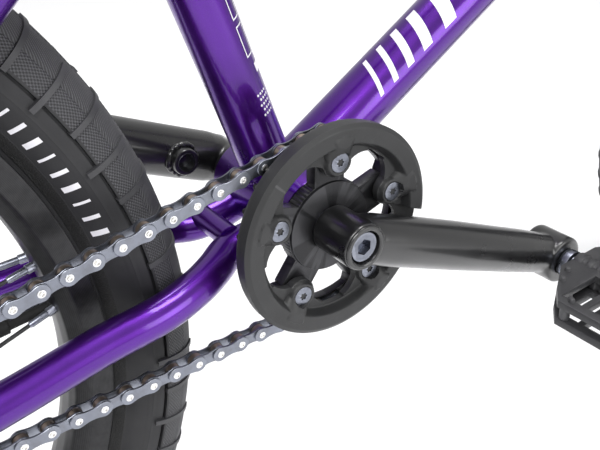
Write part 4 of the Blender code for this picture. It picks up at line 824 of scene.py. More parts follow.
def make_seat_clamp():
    """Split ring with ears and a bolt, on the top of the seat tube."""
    base = BB + 207.0 * MM * SEAT_UP
    back = SEAT_UP.cross(LEFT)
    back = back if back.x < 0 else -back
    centre = base + 7.0 * MM * SEAT_UP + 20.5 * MM * back
    axes = (back, LEFT, SEAT_UP)
    ring = lathe([(0.0, 14.6), (0.0, 18.5), (14.0, 18.5), (14.0, 14.6)], base, SEAT_UP, 64)
    ears = box_mesh(centre, axes, (9.0 * MM, 18.0 * MM, 11.0 * MM))
    split = box_mesh(centre, axes, (18.0 * MM, 1.6 * MM, 20.0 * MM))
    finish_piece("seat_clamp_fine", carved(ring, [split], [ears], 0.5 * MM), "alloy", "frame",
                 ["seat_clamp"])
    socket_bolt("seat_clamp_bolt", centre - 9.0 * MM * LEFT + 1.0 * MM * back, -LEFT, 3.6, 2.0, 19.0, "frame")


def socket_bolt(name, place, outward, head, hexagon, length, body):
    """Cap screw with a hexagon socket; place is under the head, sizes in millimetres."""
    corner = 1.155 * hexagon
    shank = 0.55 * head
    profile = [(-length, shank), (0.0, shank), (0.0, head), (0.75 * head, head), (0.95 * head, 0.85 * head)]
    body_mesh = lathe(profile, place, outward, 40, closed=False, soft=0.15 * MM)
    deep = place + 0.35 * head * MM * outward
    tool = lathe([(0.0, corner), (4.0 * head, corner)], deep, outward, 6, False, 0.0)
    finish_piece(name, carved(body_mesh, [tool]), "steel", body)


def make_axle_set(prefix, centre, body, axle_radius, length, spacing, nut, shoulder):
    """Threaded axle with its cones, and a flanged nut on each end; sizes in millimetres."""
    profile = [(-length, axle_radius - 0.8), (-length + 1.0, axle_radius), (length - 1.0, axle_radius),
               (length, axle_radius - 0.8)]
    bm = lathe(profile, centre, closed=False, segments=48, soft=0.0)
    threads = int(length - spacing - 6.0)
    root, crest = axle_radius - 0.1, axle_radius + 0.25
    for side, _ in SIDES:
        for k in range(threads):
            y = side * (length - 1.6 - k)
            ridge = [(y - 0.45, root), (y, crest), (y + 0.45, root)]
            combine(bm, lathe(ridge, centre, segments=40, soft=0.0))
        ring = sided(side, [(spacing - 0.3, axle_radius), (spacing - 0.3, shoulder),
                            (spacing - 6.0, shoulder), (spacing - 8.0, axle_radius)])
        combine(bm, lathe(ring, centre, segments=48))
    piece(prefix + "_axle_fine", bm, "dark_steel", body, [prefix + "_axle"])
    across = 0.5 * nut / math.cos(math.pi / 6.0)
    for side, word in SIDES:
        foot = side * (spacing + 6.3)
        crown = side * (spacing + 18.0)
        raw = lathe([(foot, axle_radius + 0.4), (foot, across), (crown, across), (crown, axle_radius + 0.4)],
                    centre, segments=6, soft=0.0)
        flange = lathe([(foot, axle_radius + 0.4), (foot, across + 1.6), (foot + side * 2.2, across + 1.0),
                        (foot + side * 2.6, axle_radius + 0.4)], centre, segments=56)
        finish_piece("%s_nut_fine_%s" % (prefix, word), carved(raw, [], [flange], 0.5 * MM), "steel", body,
                     ["%s_nut_%s" % (prefix, word)])


# ------------------------------------------------------------------ wheels
TREAD_PITCHES = 38       # long bars on each side, once round the tyre
SHOULDER = 40.0          # from the crown over the surface, in millimetres
TREAD_LEVEL = -0.4       # heights above the tyre section, in millimetres
SIDEWALL_LEVEL = -1.1
BAR_LEVEL = 0.42


def tyre_section():
    """Outer section of the tyre from one bead to the other, as (y, r) in millimetres."""
    knots = [(15.0, 203.5), (15.3, 207.0), (15.7, 211.2), (18.6, 215.0), (23.4, 220.5), (26.8, 227.0),
             (27.9, 233.0), (27.4, 239.4), (25.5, 245.6), (22.0, 250.6), (16.8, 254.6), (9.5, 256.8),
             (0.0, 257.2)]
    right = [Vector((-y, r, 0.0)) for y, r in knots]
    left = [Vector((y, r, 0.0)) for y, r in reversed(knots[:-1])]
    return flowing(right + left, 6)


def measured(section):
    """Distance of each section point from the crown, negative on the right."""
    lengths = [0.0]
    for a, b in zip(section, section[1:]):
        lengths.append(lengths[-1] + (b - a).length)
    crown = lengths[len(section) // 2]
    return [value - crown for value in lengths]


def section_spot(section, distances, s, height):
    """Point at a distance from the crown and a height above the casing, as (y, r)."""
    i = 0
    while i < len(section) - 2 and distances[i + 1] < s:
        i += 1
    share = (s - distances[i]) / (distances[i + 1] - distances[i])
    along = (section[i + 1] - section[i]).normalized()
    return section[i].lerp(section[i + 1], share) + height * Vector((-along.y, along.x, 0.0))


GROOVES = (6.0, 13.0, 29.0)   # from the crown
RIDGES = (7.6, 9.2)           # below the shoulder
UNDERCUT = 1.5                # width of the step


def casing_level(s):
    """Step from the tread to the sidewall, with an undercut at the shoulder and two fine ridges below it."""
    size = abs(s)
    if size <= SHOULDER:
        grooves = sum(math.exp(-((size - groove) / 0.6) ** 4) for groove in GROOVES)
        return TREAD_LEVEL - 0.45 * grooves
    if size < SHOULDER + UNDERCUT:
        return SIDEWALL_LEVEL - 1.6
    ridges = sum(math.exp(-((size - SHOULDER - place) / 0.5) ** 2) for place in RIDGES)
    return SIDEWALL_LEVEL + 0.3 * ridges


def wheel_spot(centre, place, turn):
    """Point on the wheel for a section place (y, r) in millimetres."""
    r = place.y * MM
    return centre + Vector((r * math.cos(turn), place.x * MM, r * math.sin(turn)))


def raised_strip(bm, centre, section, distances, turn, start, end, wide, low, high):
    """Narrow raised bar lying across the tyre between two distances from the crown."""
    steps = max(int(abs(end - start) / 1.5), 2)
    rings = []
    for k in range(steps + 1):
        s = start + (end - start) * k / steps
        corners = ((-0.5, low), (-0.42, high), (0.42, high), (0.5, low))
        ring = []
        for across, height in corners:
            place = section_spot(section, distances, s, height)
            ring.append(bm.verts.new(wheel_spot(centre, place, turn + across * wide / place.y)))
        rings.append(ring)
    for a, b in zip(rings, rings[1:]):
        loop_faces(bm, a, b)
    bm.faces.new(rings[0])
    bm.faces.new(rings[-1])


def make_tyre(prefix, centre, body):
    """Casing with a stepped shoulder, raised tread bars and plain marks on the sidewall."""
    tread_step, wall_step, count = 0.75, 1.0, 360
    section = tyre_section()
    distances = measured(section)
    stops = [0.0]
    while stops[-1] < SHOULDER - tread_step:
        stops.append(stops[-1] + tread_step)
    stops += [SHOULDER - 0.02, SHOULDER + 0.02, SHOULDER + 1.48, SHOULDER + 1.52]
    last = distances[-1]
    while stops[-1] < last - 1.2:
        stops.append(stops[-1] + wall_step)
    stops.append(last)
    bm = bmesh.new()
    places = [section_spot(section, distances, s, casing_level(s)) for s in
              [-s for s in reversed(stops[1:])] + stops]
    inside = [(11.5, 203.0), (13.0, 212.0), (24.0, 226.0), (24.0, 236.0), (12.0, 250.0), (0.0, 253.0)]
    places += [Vector((y, r, 0.0)) for y, r in inside]
    places += [Vector((-y, r, 0.0)) for y, r in reversed(inside[:-1])]
    rings = [[bm.verts.new(wheel_spot(centre, place, TURN * k / count)) for k in range(count)]
             for place in places]
    for a, b in zip(rings, rings[1:]):
        loop_faces(bm, a, b)
    loop_faces(bm, rings[-1], rings[0])
    bars = bmesh.new()
    for k in range(TREAD_PITCHES):
        for side in (-1, 1):
            turn = TURN * (k + (0.25 if side > 0 else 0.0)) / TREAD_PITCHES
            long_bar = (side * 7.0, side * (SHOULDER + 0.6), 3.2)
            tail_bar = (side * 19.0, side * (SHOULDER + 5.5), 3.2)
            short_bar = (side * 0.6, side * 5.4, 3.0)
            for (start, end, wide), shift in ((long_bar, 0.0), (tail_bar, 0.5), (short_bar, 0.25)):
                raised_strip(bars, centre, section, distances, turn + shift * TURN / TREAD_PITCHES,
                             start, end, wide, SIDEWALL_LEVEL - 1.4, BAR_LEVEL)
    piece(prefix + "_tread_bars", bars, "tread_bar", body, sharp=30.0)
    piece(prefix + "_tyre_fine", bm, prefix + "_tyre", body, [prefix + "_tyre"], 30.0)
    marks = bmesh.new()
    for side in (-1, 1):
        for k in range(13):
            turn = math.radians(14.0 + 2.3 * k)
            wide = (1.6, 3.4, 2.4)[k % 3]
            raised_strip(marks, centre, section, distances, turn, side * (SHOULDER + 11.0),
                         side * (SHOULDER + 19.5), wide, SIDEWALL_LEVEL - 0.3, SIDEWALL_LEVEL + 0.12)
    piece(prefix + "_tyre_marks", marks, "vinyl", body)


def make_rim(prefix, centre, body):
    """Double-walled rim and the valve."""
    profile = [(-18.0, 209.7), (-16.6, 210.0), (-16.0, 208.6), (-16.4, 206.6), (-15.6, 203.6), (-9.0, 201.6),
               (9.0, 201.6), (15.6, 203.6), (16.4, 206.6), (16.0, 208.6), (16.6, 210.0), (18.0, 209.7),
               (18.1, 199.2), (16.6, 197.4), (10.6, 192.6), (4.0, 191.4), (-4.0, 191.4), (-10.6, 192.6),
               (-16.6, 197.4), (-18.1, 199.2)]
    piece(prefix + "_rim_fine", lathe(profile, centre, segments=240, soft=0.6 * MM), prefix + "_rim", body,
          [prefix + "_rim"])
    out = Vector((math.cos(0.1), 0.0, math.sin(0.1)))
    foot = centre + 192.5 * MM * out
    bm = lathe([(0.0, 3.4), (-1.6, 3.4), (-2.0, 2.6), (-22.0, 2.6), (-22.5, 3.9), (-33.0, 3.9), (-35.0, 2.6)],
               foot, out, 32, False)
    piece(prefix + "_valve", bm, "grip", body)


def make_spokes(prefix, centre, body, flange_y, flange_radius):
    """Eighteen crossed spokes for each flange, with elbows at the hub and nipples at the rim."""
    per_side = 9
    lean = math.radians(46.0)
    hole_circle, rim_radius = flange_radius - 3.5, 191.0
    for side, word in SIDES:
        wires = bmesh.new()
        nipples = bmesh.new()
        for family in (0, 1):
            for k in range(per_side):
                start = TURN * (k + 0.5 * family) / per_side
                tip = start + (lean if family == 0 else -lean)
                y = side * (flange_y + (0.9 if family else -0.9))
                hub = centre + MM * Vector((hole_circle * math.cos(start), y, hole_circle * math.sin(start)))
                rim = centre + MM * Vector((rim_radius * math.cos(tip), side * 5.0,
                                            rim_radius * math.sin(tip)))
                along = (rim - hub).normalized()
                inward = hub - side * (2.8 if family else -2.8) * MM * LEFT
                combine(wires, sweep([inward, hub, rim], [1.5 * MM, 1.0 * MM, 1.0 * MM], 10))
                ends = [rim - back * MM * along for back in (13.0, 11.8, 3.4, 3.0)]
                combine(nipples, sweep(ends + [rim + 1.0 * MM * along],
                                       [1.3 * MM, 1.75 * MM, 1.75 * MM, 2.3 * MM, 2.3 * MM], 12))
        piece("%s_spokes_fine_%s" % (prefix, word), wires, "spoke", body,
              ["%s_spokes_%s" % (prefix, word)])
        piece("%s_nipples_%s" % (prefix, word), nipples, "steel", body)


def make_hub(prefix, centre, body, half, bore, flange_y, flange_radius, waist):
    """Turned hub shell with spoke holes in both flanges; sizes in millimetres."""
    inner = flange_y - 3.2
    hole_circle = flange_radius - 3.5
    right = [(-half, 14.0), (-flange_y - 1.5, 15.5), (-flange_y, 17.0), (-flange_y, flange_radius - 1.0),
             (-flange_y + 0.8, flange_radius), (-inner - 0.6, flange_radius), (-inner, flange_radius - 1.0),
             (-inner, waist + 6.0), (-inner + 3.0, waist + 2.0), (-inner + 9.0, waist)]
    profile = [(-half, bore)] + right + [(-y, r) for y, r in reversed(right)] + [(half, bore)]
    holes = []
    for side, _ in SIDES:
        for k in range(18):
            a = TURN * k / 18
            spot = centre + MM * Vector((hole_circle * math.cos(a), side * (flange_y - 1.6),
                                         hole_circle * math.sin(a)))
            combine_into(holes, across_bar(spot, 4.0 * MM, 1.25 * MM, 10))
    mesh = carved(lathe(profile, centre, segments=96), holes)
    finish_piece(prefix + "_hub_fine", mesh, "alloy", body, [prefix + "_hub"])


def combine_into(batch, bm):
    """Collect separate cutters into one, held as the batch's only item."""
    if batch:
        combine(batch[0], bm)
    else:
        batch.append(bm)


# ------------------------------------------------------------------ drive train
def pitch_radius(teeth):
    """Radius of the circle that the chain pins lie on."""
    return CHAIN_PITCH / (2.0 * math.sin(math.pi / teeth))


AXLE_LINE = BB - REAR_AXLE   # the straight runs and the lap on the cog, in pitches
RISE = math.atan2(AXLE_LINE.z, AXLE_LINE.x)
CENTRES = AXLE_LINE.length
TAPER = math.asin((pitch_radius(SPROCKET_TEETH) - pitch_radius(COG_TEETH)) / CENTRES)
STRAIGHT = CENTRES * math.cos(TAPER) / CHAIN_PITCH
REAR_LAP = COG_TEETH * (math.pi - 2.0 * TAPER) / TURN


def on_circle(centre, radius, turn):
    """Point at an angle about a centre, in the chain's plane."""
    x, z = around(centre, radius, turn)
    return Vector((x, CHAIN_Y, z))


def chain_point(pitches):
    """Place on the pin line, counted rearward from the upper tangent point."""
    pitches %= CHAIN_LINKS
    upper = RISE + 0.5 * math.pi + TAPER
    lower = RISE - 0.5 * math.pi - TAPER
    front, rear = pitch_radius(SPROCKET_TEETH), pitch_radius(COG_TEETH)
    if pitches < STRAIGHT:
        return on_circle(BB, front, upper).lerp(on_circle(REAR_AXLE, rear, upper), pitches / STRAIGHT)
    pitches -= STRAIGHT
    if pitches < REAR_LAP:
        return on_circle(REAR_AXLE, rear, upper + TURN * pitches / COG_TEETH)
    pitches -= REAR_LAP
    if pitches < STRAIGHT:
        return on_circle(REAR_AXLE, rear, lower).lerp(on_circle(BB, front, lower), pitches / STRAIGHT)
    return on_circle(BB, front, lower + TURN * (pitches - STRAIGHT) / SPROCKET_TEETH)


def chain_pins():
    """Places of all pins, one for each link."""
    return [chain_point(CHAIN_PHASE + k) for k in range(CHAIN_LINKS)]


PLATE_END = 4.15   # radius of a side plate's ends, in millimetres


def plate_outline():
    """Waisted side plate about its middle, in millimetres."""
    half_pitch, end, waist = 6.35, PLATE_END, 3.0
    edge = math.radians(110.0)
    outline = []
    for sign in (1, -1):
        for k in range(17):
            a = (0.0 if sign > 0 else math.pi) - edge + 2.0 * edge * k / 16.0
            centre = sign * half_pitch
            outline.append((centre + end * math.cos(a), end * math.sin(a)))
        reach = half_pitch + end * math.cos(edge)
        for k in range(1, 6):
            x = sign * reach * (1.0 - k / 3.0)
            dip = waist + (end * math.sin(edge) - waist) * (x / reach) ** 2
            outline.append((x, sign * dip))
    return outline


def add_plate(bm, start, end, side, near, far, joggle=0.0):
    """One side plate between two pins and two distances from the chain's middle.

    A half link's plate has a joggle: its far end stands further out.
    """
    middle = 0.5 * (start + end)
    along = (end - start).normalized()
    up = Vector((-along.z, 0.0, along.x))
    bevel = 0.22
    rings = []
    for share, inset in ((0.0, 0.0), (0.8, 0.0), (1.0, bevel)):
        ring = []
        for x, z in plate_outline():
            shrink = 1.0 - inset / PLATE_END
            lateral = near + (far - near) * share + joggle * (0.5 + 0.5 * math.tanh(x / 1.6))
            spot = middle + MM * (x * (1.0 - inset / 10.5) * along + z * shrink * up)
            ring.append(bm.verts.new(spot + side * lateral * MM * LEFT))
        rings.append(ring)
    for a, b in zip(rings, rings[1:]):
        loop_faces(bm, a, b)
    bm.faces.new(rings[0])
    bm.faces.new(rings[-1])


def make_chain():
    """Sixty-nine links; one is a half link, which lets an odd number close the loop."""
    pins = chain_pins()
    inner, outer_plate = (1.65, 2.70), (2.80, 3.85)
    plates, rivets, rollers = bmesh.new(), bmesh.new(), bmesh.new()
    for k, pin in enumerate(pins):
        after = pins[(k + 1) % CHAIN_LINKS]
        outer = (k % 2 == 1) if k < HALF_LINK else (k % 2 == 0)
        for side in (-1, 1):
            if k == HALF_LINK:
                add_plate(plates, pin, after, side, *inner, 1.15)
            else:
                add_plate(plates, pin, after, side, *(outer_plate if outer else inner))
        profile = [(-4.05, 0.35), (-3.95, 0.75), (-4.28, 1.25), (-4.15, 1.85), (-3.7, 2.0), (3.7, 2.0),
                   (4.15, 1.85), (4.28, 1.25), (3.95, 0.75), (4.05, 0.35)]
        combine(rivets, lathe(profile, pin, segments=20, closed=False, soft=0.0))
        combine(rollers, lathe([(-1.55, 3.5), (-1.3, 3.85), (1.3, 3.85), (1.55, 3.5)], pin, segments=28,
                               closed=False, soft=0.0))
    piece("chain_plates", plates, "plate", "frame", ["chain"])
    piece("chain_pins", rivets, "pin", "frame")
    piece("chain_rollers", rollers, "roller", "frame")


def toothed_outline(teeth, centre, first_pin):
    """Round seats for the rollers with pointed teeth between them."""
    radius = pitch_radius(teeth)
    seat = ROLLER_RADIUS + 0.15 * MM
    step = TURN / teeth
    outline = []
    for k in range(teeth):
        turn = first_pin + k * step
        pin = Vector(around(centre, radius, turn))
        for j in range(9):
            way = turn + math.pi + math.radians(72.0 - 18.0 * j)
            outline.append((pin.x + seat * math.cos(way), pin.y + seat * math.sin(way)))
        for share, height in ((0.36, 1.9), (0.44, 3.3), (0.56, 3.3), (0.64, 1.9)):
            outline.append(around(centre, radius + height * MM, turn + share * step))
    return outline


def seated_pin_angle(centre, teeth):
    """Angle of a chain pin that lies on the pitch circle."""
    radius = pitch_radius(teeth)
    best = min(chain_pins(), key=lambda p: abs(math.hypot(p.x - centre.x, p.z - centre.z) - radius))
    return math.atan2(best.z - centre.z, best.x - centre.x)


def bolt_angle(k):
    """Angle of one guard bolt about the spindle."""
    return FIRST_BOLT - k * TURN / ARM_COUNT


def guard_bolt_place(k):
    x, z = around(BB, BOLT_CIRCLE, bolt_angle(k))
    return Vector((x, 0.0, z))


def window_outline(middle, inner, outer, arm_half, round_size):
    """Rounded window between two arms of constant width, with a finely notched edge."""
    outline = []
    step = math.pi / ARM_COUNT
    steps = 40
    for k in range(steps + 1):
        limit = step - math.asin(arm_half / outer)
        a = -limit + 2.0 * limit * k / steps
        edge = smoothstep(0.0, round_size / outer, limit - abs(a))
        outline.append((outer - (1.0 - edge) * round_size, middle + a))
    for k in range(1, 13):
        r = outer - round_size - (outer - inner - 2.0 * round_size) * k / 13.0
        outline.append((r, middle + step - math.asin(arm_half / r)))
    for k in range(13):
        limit = max(step - math.asin(arm_half / inner), 0.02)
        outline.append((inner + 0.3 * MM * (k % 2), middle + limit - 2.0 * limit * k / 12.0))
    for k in range(12, 0, -1):
        r = outer - round_size - (outer - inner - 2.0 * round_size) * k / 13.0
        outline.append((r, middle - step + math.asin(arm_half / r)))
    return [around(BB, r, a) for r, a in outline]


def make_sprocket():
    """Toothed ring on five wide arms around a hub."""
    teeth = toothed_outline(SPROCKET_TEETH, BB, seated_pin_angle(BB, SPROCKET_TEETH))
    plate = prism(teeth, CHAIN_Y - 1.35 * MM, CHAIN_Y + 1.35 * MM, 0.45 * MM)
    y = CHAIN_Y / MM
    spider = lathe([(y - 4.4, 9.0), (y - 4.4, 41.0), (y - 2.2, 45.0), (y - 1.0, 46.5), (y + 1.6, 46.5),
                    (y + 2.6, 44.0), (y + 2.6, 9.0)], BB, segments=120)
    hub = lathe([(-46.6, 9.0), (-46.6, 25.0), (y + 3.4, 26.0), (y + 3.4, 9.0)], BB, segments=96)
    cuts = [right_bore(BB, 11.3 * MM, 48)]
    for k in range(ARM_COUNT):
        middle = bolt_angle(k) - math.pi / ARM_COUNT
        cuts.append(prism(window_outline(middle, 25.5 * MM, 44.5 * MM, 9.4 * MM, 4.0 * MM), *RIGHT_CUT))
    mesh = carved(plate, cuts, [spider, hub], 0.35 * MM)
    finish_piece("sprocket_fine", mesh, "sprocket", "cranks", ["sprocket"], 30.0)


def from_bolt(a, k):
    """Angle from one guard bolt, between half a turn back and half a turn on."""
    return (a - bolt_angle(k) + math.pi) % TURN - math.pi


def guard_inner(a):
    """Inner edge of the guard: an arc between the bolts, a round lug at each bolt."""
    best, reach, blend = 45.0, 8.6, 5.0
    centre = BOLT_CIRCLE / MM
    for k in range(ARM_COUNT):
        apart = from_bolt(a, k)
        side = abs(centre * math.sin(apart))
        if math.cos(apart) > 0.5 and side < reach + 9.0:
            if side < reach:
                lug = centre * math.cos(apart) - math.sqrt(reach ** 2 - side ** 2)
            else:
                lug = centre * math.cos(apart) + (side - reach) * 1.2
            h = min(max(0.5 + 0.5 * (best - lug) / blend, 0.0), 1.0)
            best = best * (1.0 - h) + lug * h - blend * h * (1.0 - h)
    return best


GUARD_BAND = 56.2    # levels of the guard's face, as millimetres outboard of the centre plane
GUARD_DISH = 50.6
GUARD_BACK = 47.4
BOLT_SEAT = 52.9
ARM_RECESS = 49.2


def guard_level(r, a):
    """Depth of the guard's outer face, as millimetres outboard of the centre plane."""
    lip = GUARD_BAND - 1.5 * min(max((r - GUARD_EDGE + 2.4) / 2.4, 0.0), 1.0)
    dish = GUARD_DISH + 5.6 * smoothstep(45.4, 48.6, r)
    level = min(lip, dish)
    for k in range(ARM_COUNT):
        apart = from_bolt(a, k)
        x = r * math.cos(apart) - BOLT_CIRCLE / MM
        z = r * math.sin(apart)
        if math.cos(apart) < 0.5:
            continue
        away = math.hypot(x, z)
        boss = 53.4 - 3.2 * smoothstep(6.9, 8.6, away)
        ridge_width = 7.4 + 0.14 * max(x, 0.0)
        share = 1.0 - (z / ridge_width) ** 2
        if share > 0.0 and 0.0 < x < 16.0:
            ridge = GUARD_DISH + (3.2 + 0.38 * x) * math.sqrt(share)
            ridge -= 4.0 * smoothstep(12.5, 15.5, x)
            boss = max(boss, min(ridge, 57.0))
        level = max(level, boss) if x < 14.5 else level
        if away < 5.6:
            level = BOLT_SEAT
    point = Vector((BB.x + MM * r * math.cos(a), 0.0, BB.z + MM * r * math.sin(a))) - BB
    along, across = point.dot(CRANK_DIRECTION) / MM, abs(point.dot(CRANK_ACROSS)) / MM
    if along > 24.0:
        level = min(level, ARM_RECESS + 12.0 * smoothstep(16.4, 17.4, across))
    return level


def make_guard():
    """Nylon ring outboard of the chain: rounded lip, dished face, five bolt bosses, arm recess."""
    count, rows = 720, 46
    bm = bmesh.new()
    columns = []
    for k in range(count):
        a = TURN * k / count
        inner = guard_inner(a)
        column = []
        for level_y, r in ((46.4, inner + 0.4), (46.9, inner)):
            column.append(Vector((r, level_y)))
        for j in range(rows + 1):
            r = inner + (GUARD_EDGE - inner) * j / rows
            column.append(Vector((r, max(guard_level(r, a), GUARD_BACK))))
        column += [Vector((GUARD_EDGE, 49.0)), Vector((GUARD_EDGE - 0.6, 46.6))]
        ring = [bm.verts.new((BB.x + MM * v.x * math.cos(a), -MM * v.y, BB.z + MM * v.x * math.sin(a)))
                for v in column]
        columns.append(ring)
    for k in range(count):
        loop_faces(bm, columns[k], columns[(k + 1) % count])
    piece("sprocket_guard_fine", bm, "nylon", "cranks", ["sprocket_guard"], 42.0)
    for k in range(ARM_COUNT):
        make_guard_bolt(k)


def make_guard_bolt(k):
    """Countersunk screw with a six-lobed socket, flush in its boss."""
    centre = guard_bolt_place(k)
    head = lathe([(-44.0, 3.0), (-51.0, 3.2), (-52.6, 5.2), (-53.35, 5.35), (-53.5, 5.0)], centre,
                 segments=64, closed=False, soft=0.12 * MM)
    outline = []
    for j in range(48):
        a = TURN * j / 48
        outline.append(around(centre, (1.95 + 0.32 * math.cos(6.0 * a)) * MM, a))
    socket = prism(outline, RIGHT_CUT[0], -51.7 * MM)
    finish_piece("guard_bolt_%d" % (k + 1), carved(head, [socket]), "steel", "cranks")


# distance from the spindle, distance from the centre plane, radius
ARM_STATIONS = ((1.0, 61.2, 11.4), (5.0, 61.3, 12.7), (14.0, 61.6, 13.7), (30.0, 62.4, 14.2),
                (80.0, 65.4, 14.3), (140.0, 69.2, 13.6), (166.0, 70.8, 12.8), (173.0, 71.0, 12.0))


def left_arm_extra(along):
    """Extra radius of the left arm, in millimetres: the photo shows it fuller than the right one."""
    if along > 150.0:
        return 0.0
    return 1.2 if along > 20.0 else 1.7


def make_crank_arm(side, word):
    """Round tapered arm fused to its two bosses, with machined end faces."""
    direction = -side * CRANK_DIRECTION
    path, radii, tools = [], [], []
    for along, y, radius in ARM_STATIONS:
        fuller = left_arm_extra(along) if side > 0 else 0.0
        path.append(BB + along * MM * direction + side * (y + 0.9 * fuller) * MM * LEFT)
        radii.append((radius + fuller) * MM)
    boss = lathe(sided(side, [(47.3, 12.2), (47.9, 12.8), (73.6, 12.8), (74.4, 12.3)]), BB,
                 segments=64, closed=False)
    pedal = BB + CRANK_LENGTH * direction
    end = lathe(sided(side, [(58.3, 14.4), (59.6, 15.5), (82.4, 15.5), (83.6, 14.4)]), pedal,
                segments=64, closed=False)
    mesh = blended([sweep(path, radii, 64), boss, end], 0.9 * MM, 5)
    arm = bpy.data.objects.new("arm_shape", mesh)
    bpy.context.scene.collection.objects.link(arm)
    for centre, radius, near, far in ((BB, 11.3, -7.0, 67.0), (BB, 9.15, 60.0, 80.0),
                                      (pedal, 7.3, 50.0, 90.0)):
        ends = [centre + side * level * MM * LEFT for level in (near, far)]
        tool = solid_of(sweep(ends, radius * MM, 56))
        step = arm.modifiers.new("bore", "BOOLEAN")
        step.object = tool
        tools.append(tool)
    finish_piece("crank_arm_fine_" + word, evaluated(arm, *tools), "enamel", "cranks",
                 ["crank_arm_" + word], 40.0)
    rings = lathe(sided(side, [(72.6, 9.2), (72.6, 12.1), (74.6, 12.2), (75.3, 11.6), (75.3, 10.0),
                               (74.8, 9.2)]), BB, segments=96, soft=0.2 * MM)
    piece("crank_boss_ring_" + word, rings, "enamel", "cranks")
    head = lathe(sided(side, [(66.9, 8.4), (72.7, 8.5), (73.5, 7.9)]), BB, segments=72, closed=False,
                 soft=0.25 * MM)
    key = lathe(sided(side, [(69.0, 4.62), (80.0, 4.62)]), BB, LEFT, 6, False, 0.0)
    finish_piece("spindle_bolt_fine_" + word, carved(head, [key]), "steel", "cranks",
                 ["spindle_bolt_" + word])


def make_spare_boss():
    """Unused sprocket-bolt boss on the inner face of the left arm."""
    centre = BB - 36.5 * MM * CRANK_DIRECTION
    boss = lathe([(43.2, 5.5), (43.2, 7.6), (44.2, 7.9), (50.5, 8.4), (50.5, 5.5)], centre, segments=64)
    piece("left_arm_sprocket_boss", boss, "enamel", "cranks")
    bead, sizes, steps = [], [], 96
    for k in range(steps + 1):
        a = TURN * k / steps
        out = math.cos(a) * CRANK_DIRECTION + math.sin(a) * CRANK_ACROSS
        wander, level = 8.9 + 0.3 * math.cos(5.0 * a), 48.8 + 0.8 * abs(math.sin(a))
        bead.append(centre + wander * MM * out + level * MM * LEFT)
        sizes.append((1.7 + 0.16 * math.cos(17.0 * a) + 0.25 * math.cos(4.0 * a + 1.0)) * MM)
    piece("left_arm_boss_weld", sweep(bead, sizes, 14), "enamel", "cranks")
    bm = bmesh.new()
    for k in range(6):
        y = 1.1 * k
        combine(bm, lathe([(43.6 + y, 5.1), (44.1 + y, 5.8), (44.6 + y, 5.1)], centre, segments=40, soft=0.0))
    piece("left_arm_boss_thread", bm, "dark_steel", "cranks")


def make_spindle():
    """Spindle, and the spacer between the left bearing and the left arm."""
    profile = [(-66.3, 10.0), (-65.3, 11.0), (65.3, 11.0), (66.3, 10.0)]
    piece("spindle_fine", lathe(profile, BB, closed=False, segments=64), "steel", "cranks",
          ["spindle"])
    ring = lathe([(36.3, 11.2), (36.3, 15.0), (46.5, 15.0), (46.5, 11.2)], BB)
    piece("spindle_spacer_left", ring, "alloy", "cranks")


def deck(side, centre, low, high):
    """One deck of a pedal: a tapered frame with three windows on each side of the axle."""
    inner, outer, half = 92.6, 189.4, 49.6
    outline = [(half * 0.35, inner), (half * 0.78, inner + 13.0), (half, inner + 22.0),
               (half, outer - 12.0), (half * 0.74, outer)]
    outline += [(-x, y) for x, y in reversed(outline)]
    bm = bmesh.new()
    rings = []
    for z in (low, high):
        rings.append([bm.verts.new(centre + MM * Vector((x, side * y, z))) for x, y in outline])
    loop_faces(bm, *rings)
    bm.faces.new(rings[0])
    bm.faces.new(rings[1])
    cuts = []
    for sign in (-1, 1):
        for start, stop in ((20.0, 33.0), (37.0, 58.0), (62.0, 86.0)):
            y = side * (inner + 0.5 * (start + stop))
            middle = centre + MM * Vector((sign * 27.0, y, 0.5 * (low + high)))
            combine_into(cuts, box_mesh(middle, (Vector((1, 0, 0)), LEFT, ZUP),
                                        (32.0 * MM, (stop - start) * MM, 20.0 * MM)))
    return carved(bm, cuts, [], 0.9 * MM)


def make_pedal(side, word):
    """Two thin decks on corner posts around a ribbed barrel, with moulded pins."""
    body = "pedal_body_" + word
    centre = BB - side * CRANK_LENGTH * CRANK_DIRECTION
    bm = bmesh.new()
    for low, high in ((3.6, 8.3), (-8.3, -3.6)):
        mesh = deck(side, centre, low, high)
        bm.from_mesh(mesh)
        bpy.data.meshes.remove(mesh)
    for x, y in ((46.0, 118.0), (46.0, 172.0), (30.0, 108.0), (33.0, 184.0)):
        for sign in (-1, 1):
            foot = centre + MM * Vector((sign * x, side * y, -4.2))
            combine(bm, sweep([foot, foot + 8.4 * MM * ZUP], 3.1 * MM, 20))
    barrel = [(92.8, 7.6), (92.8, 10.2)]
    for k in range(12):
        y = 98.0 + 7.2 * k
        barrel += [(y, 10.2), (y + 0.8, 9.4), (y + 3.0, 9.4), (y + 3.8, 10.2)]
    barrel += [(189.2, 10.2), (189.2, 7.6)]
    combine(bm, lathe(sided(side, barrel), centre, segments=56, soft=0.2 * MM))
    for sign in (-1, 1):
        for x, y in ((44.5, 120.0), (45.0, 144.0), (45.0, 168.0), (30.0, 103.0), (33.0, 184.5),
                     (19.0, 98.5)):
            for face in (-1, 1):
                foot = centre + MM * Vector((sign * x, side * y, face * 7.6))
                combine(bm, sweep([foot, foot + face * 2.6 * MM * ZUP, foot + face * 3.0 * MM * ZUP],
                                  [2.1 * MM, 1.6 * MM, 1.1 * MM], 16))
    piece("pedal_fine_" + word, bm, "pedal", body, ["pedal_" + word])
    profile = sided(side, [(59.0, 6.4), (60.0, 7.0), (84.0, 7.0), (84.3, 9.0), (86.0, 9.4), (90.0, 9.4),
                           (90.4, 6.6), (179.0, 5.2)])
    axle = lathe(profile, centre, closed=False, segments=40, soft=0.2 * MM)
    piece("pedal_axle_fine_" + word, axle, "steel", "cranks", ["pedal_axle_" + word])


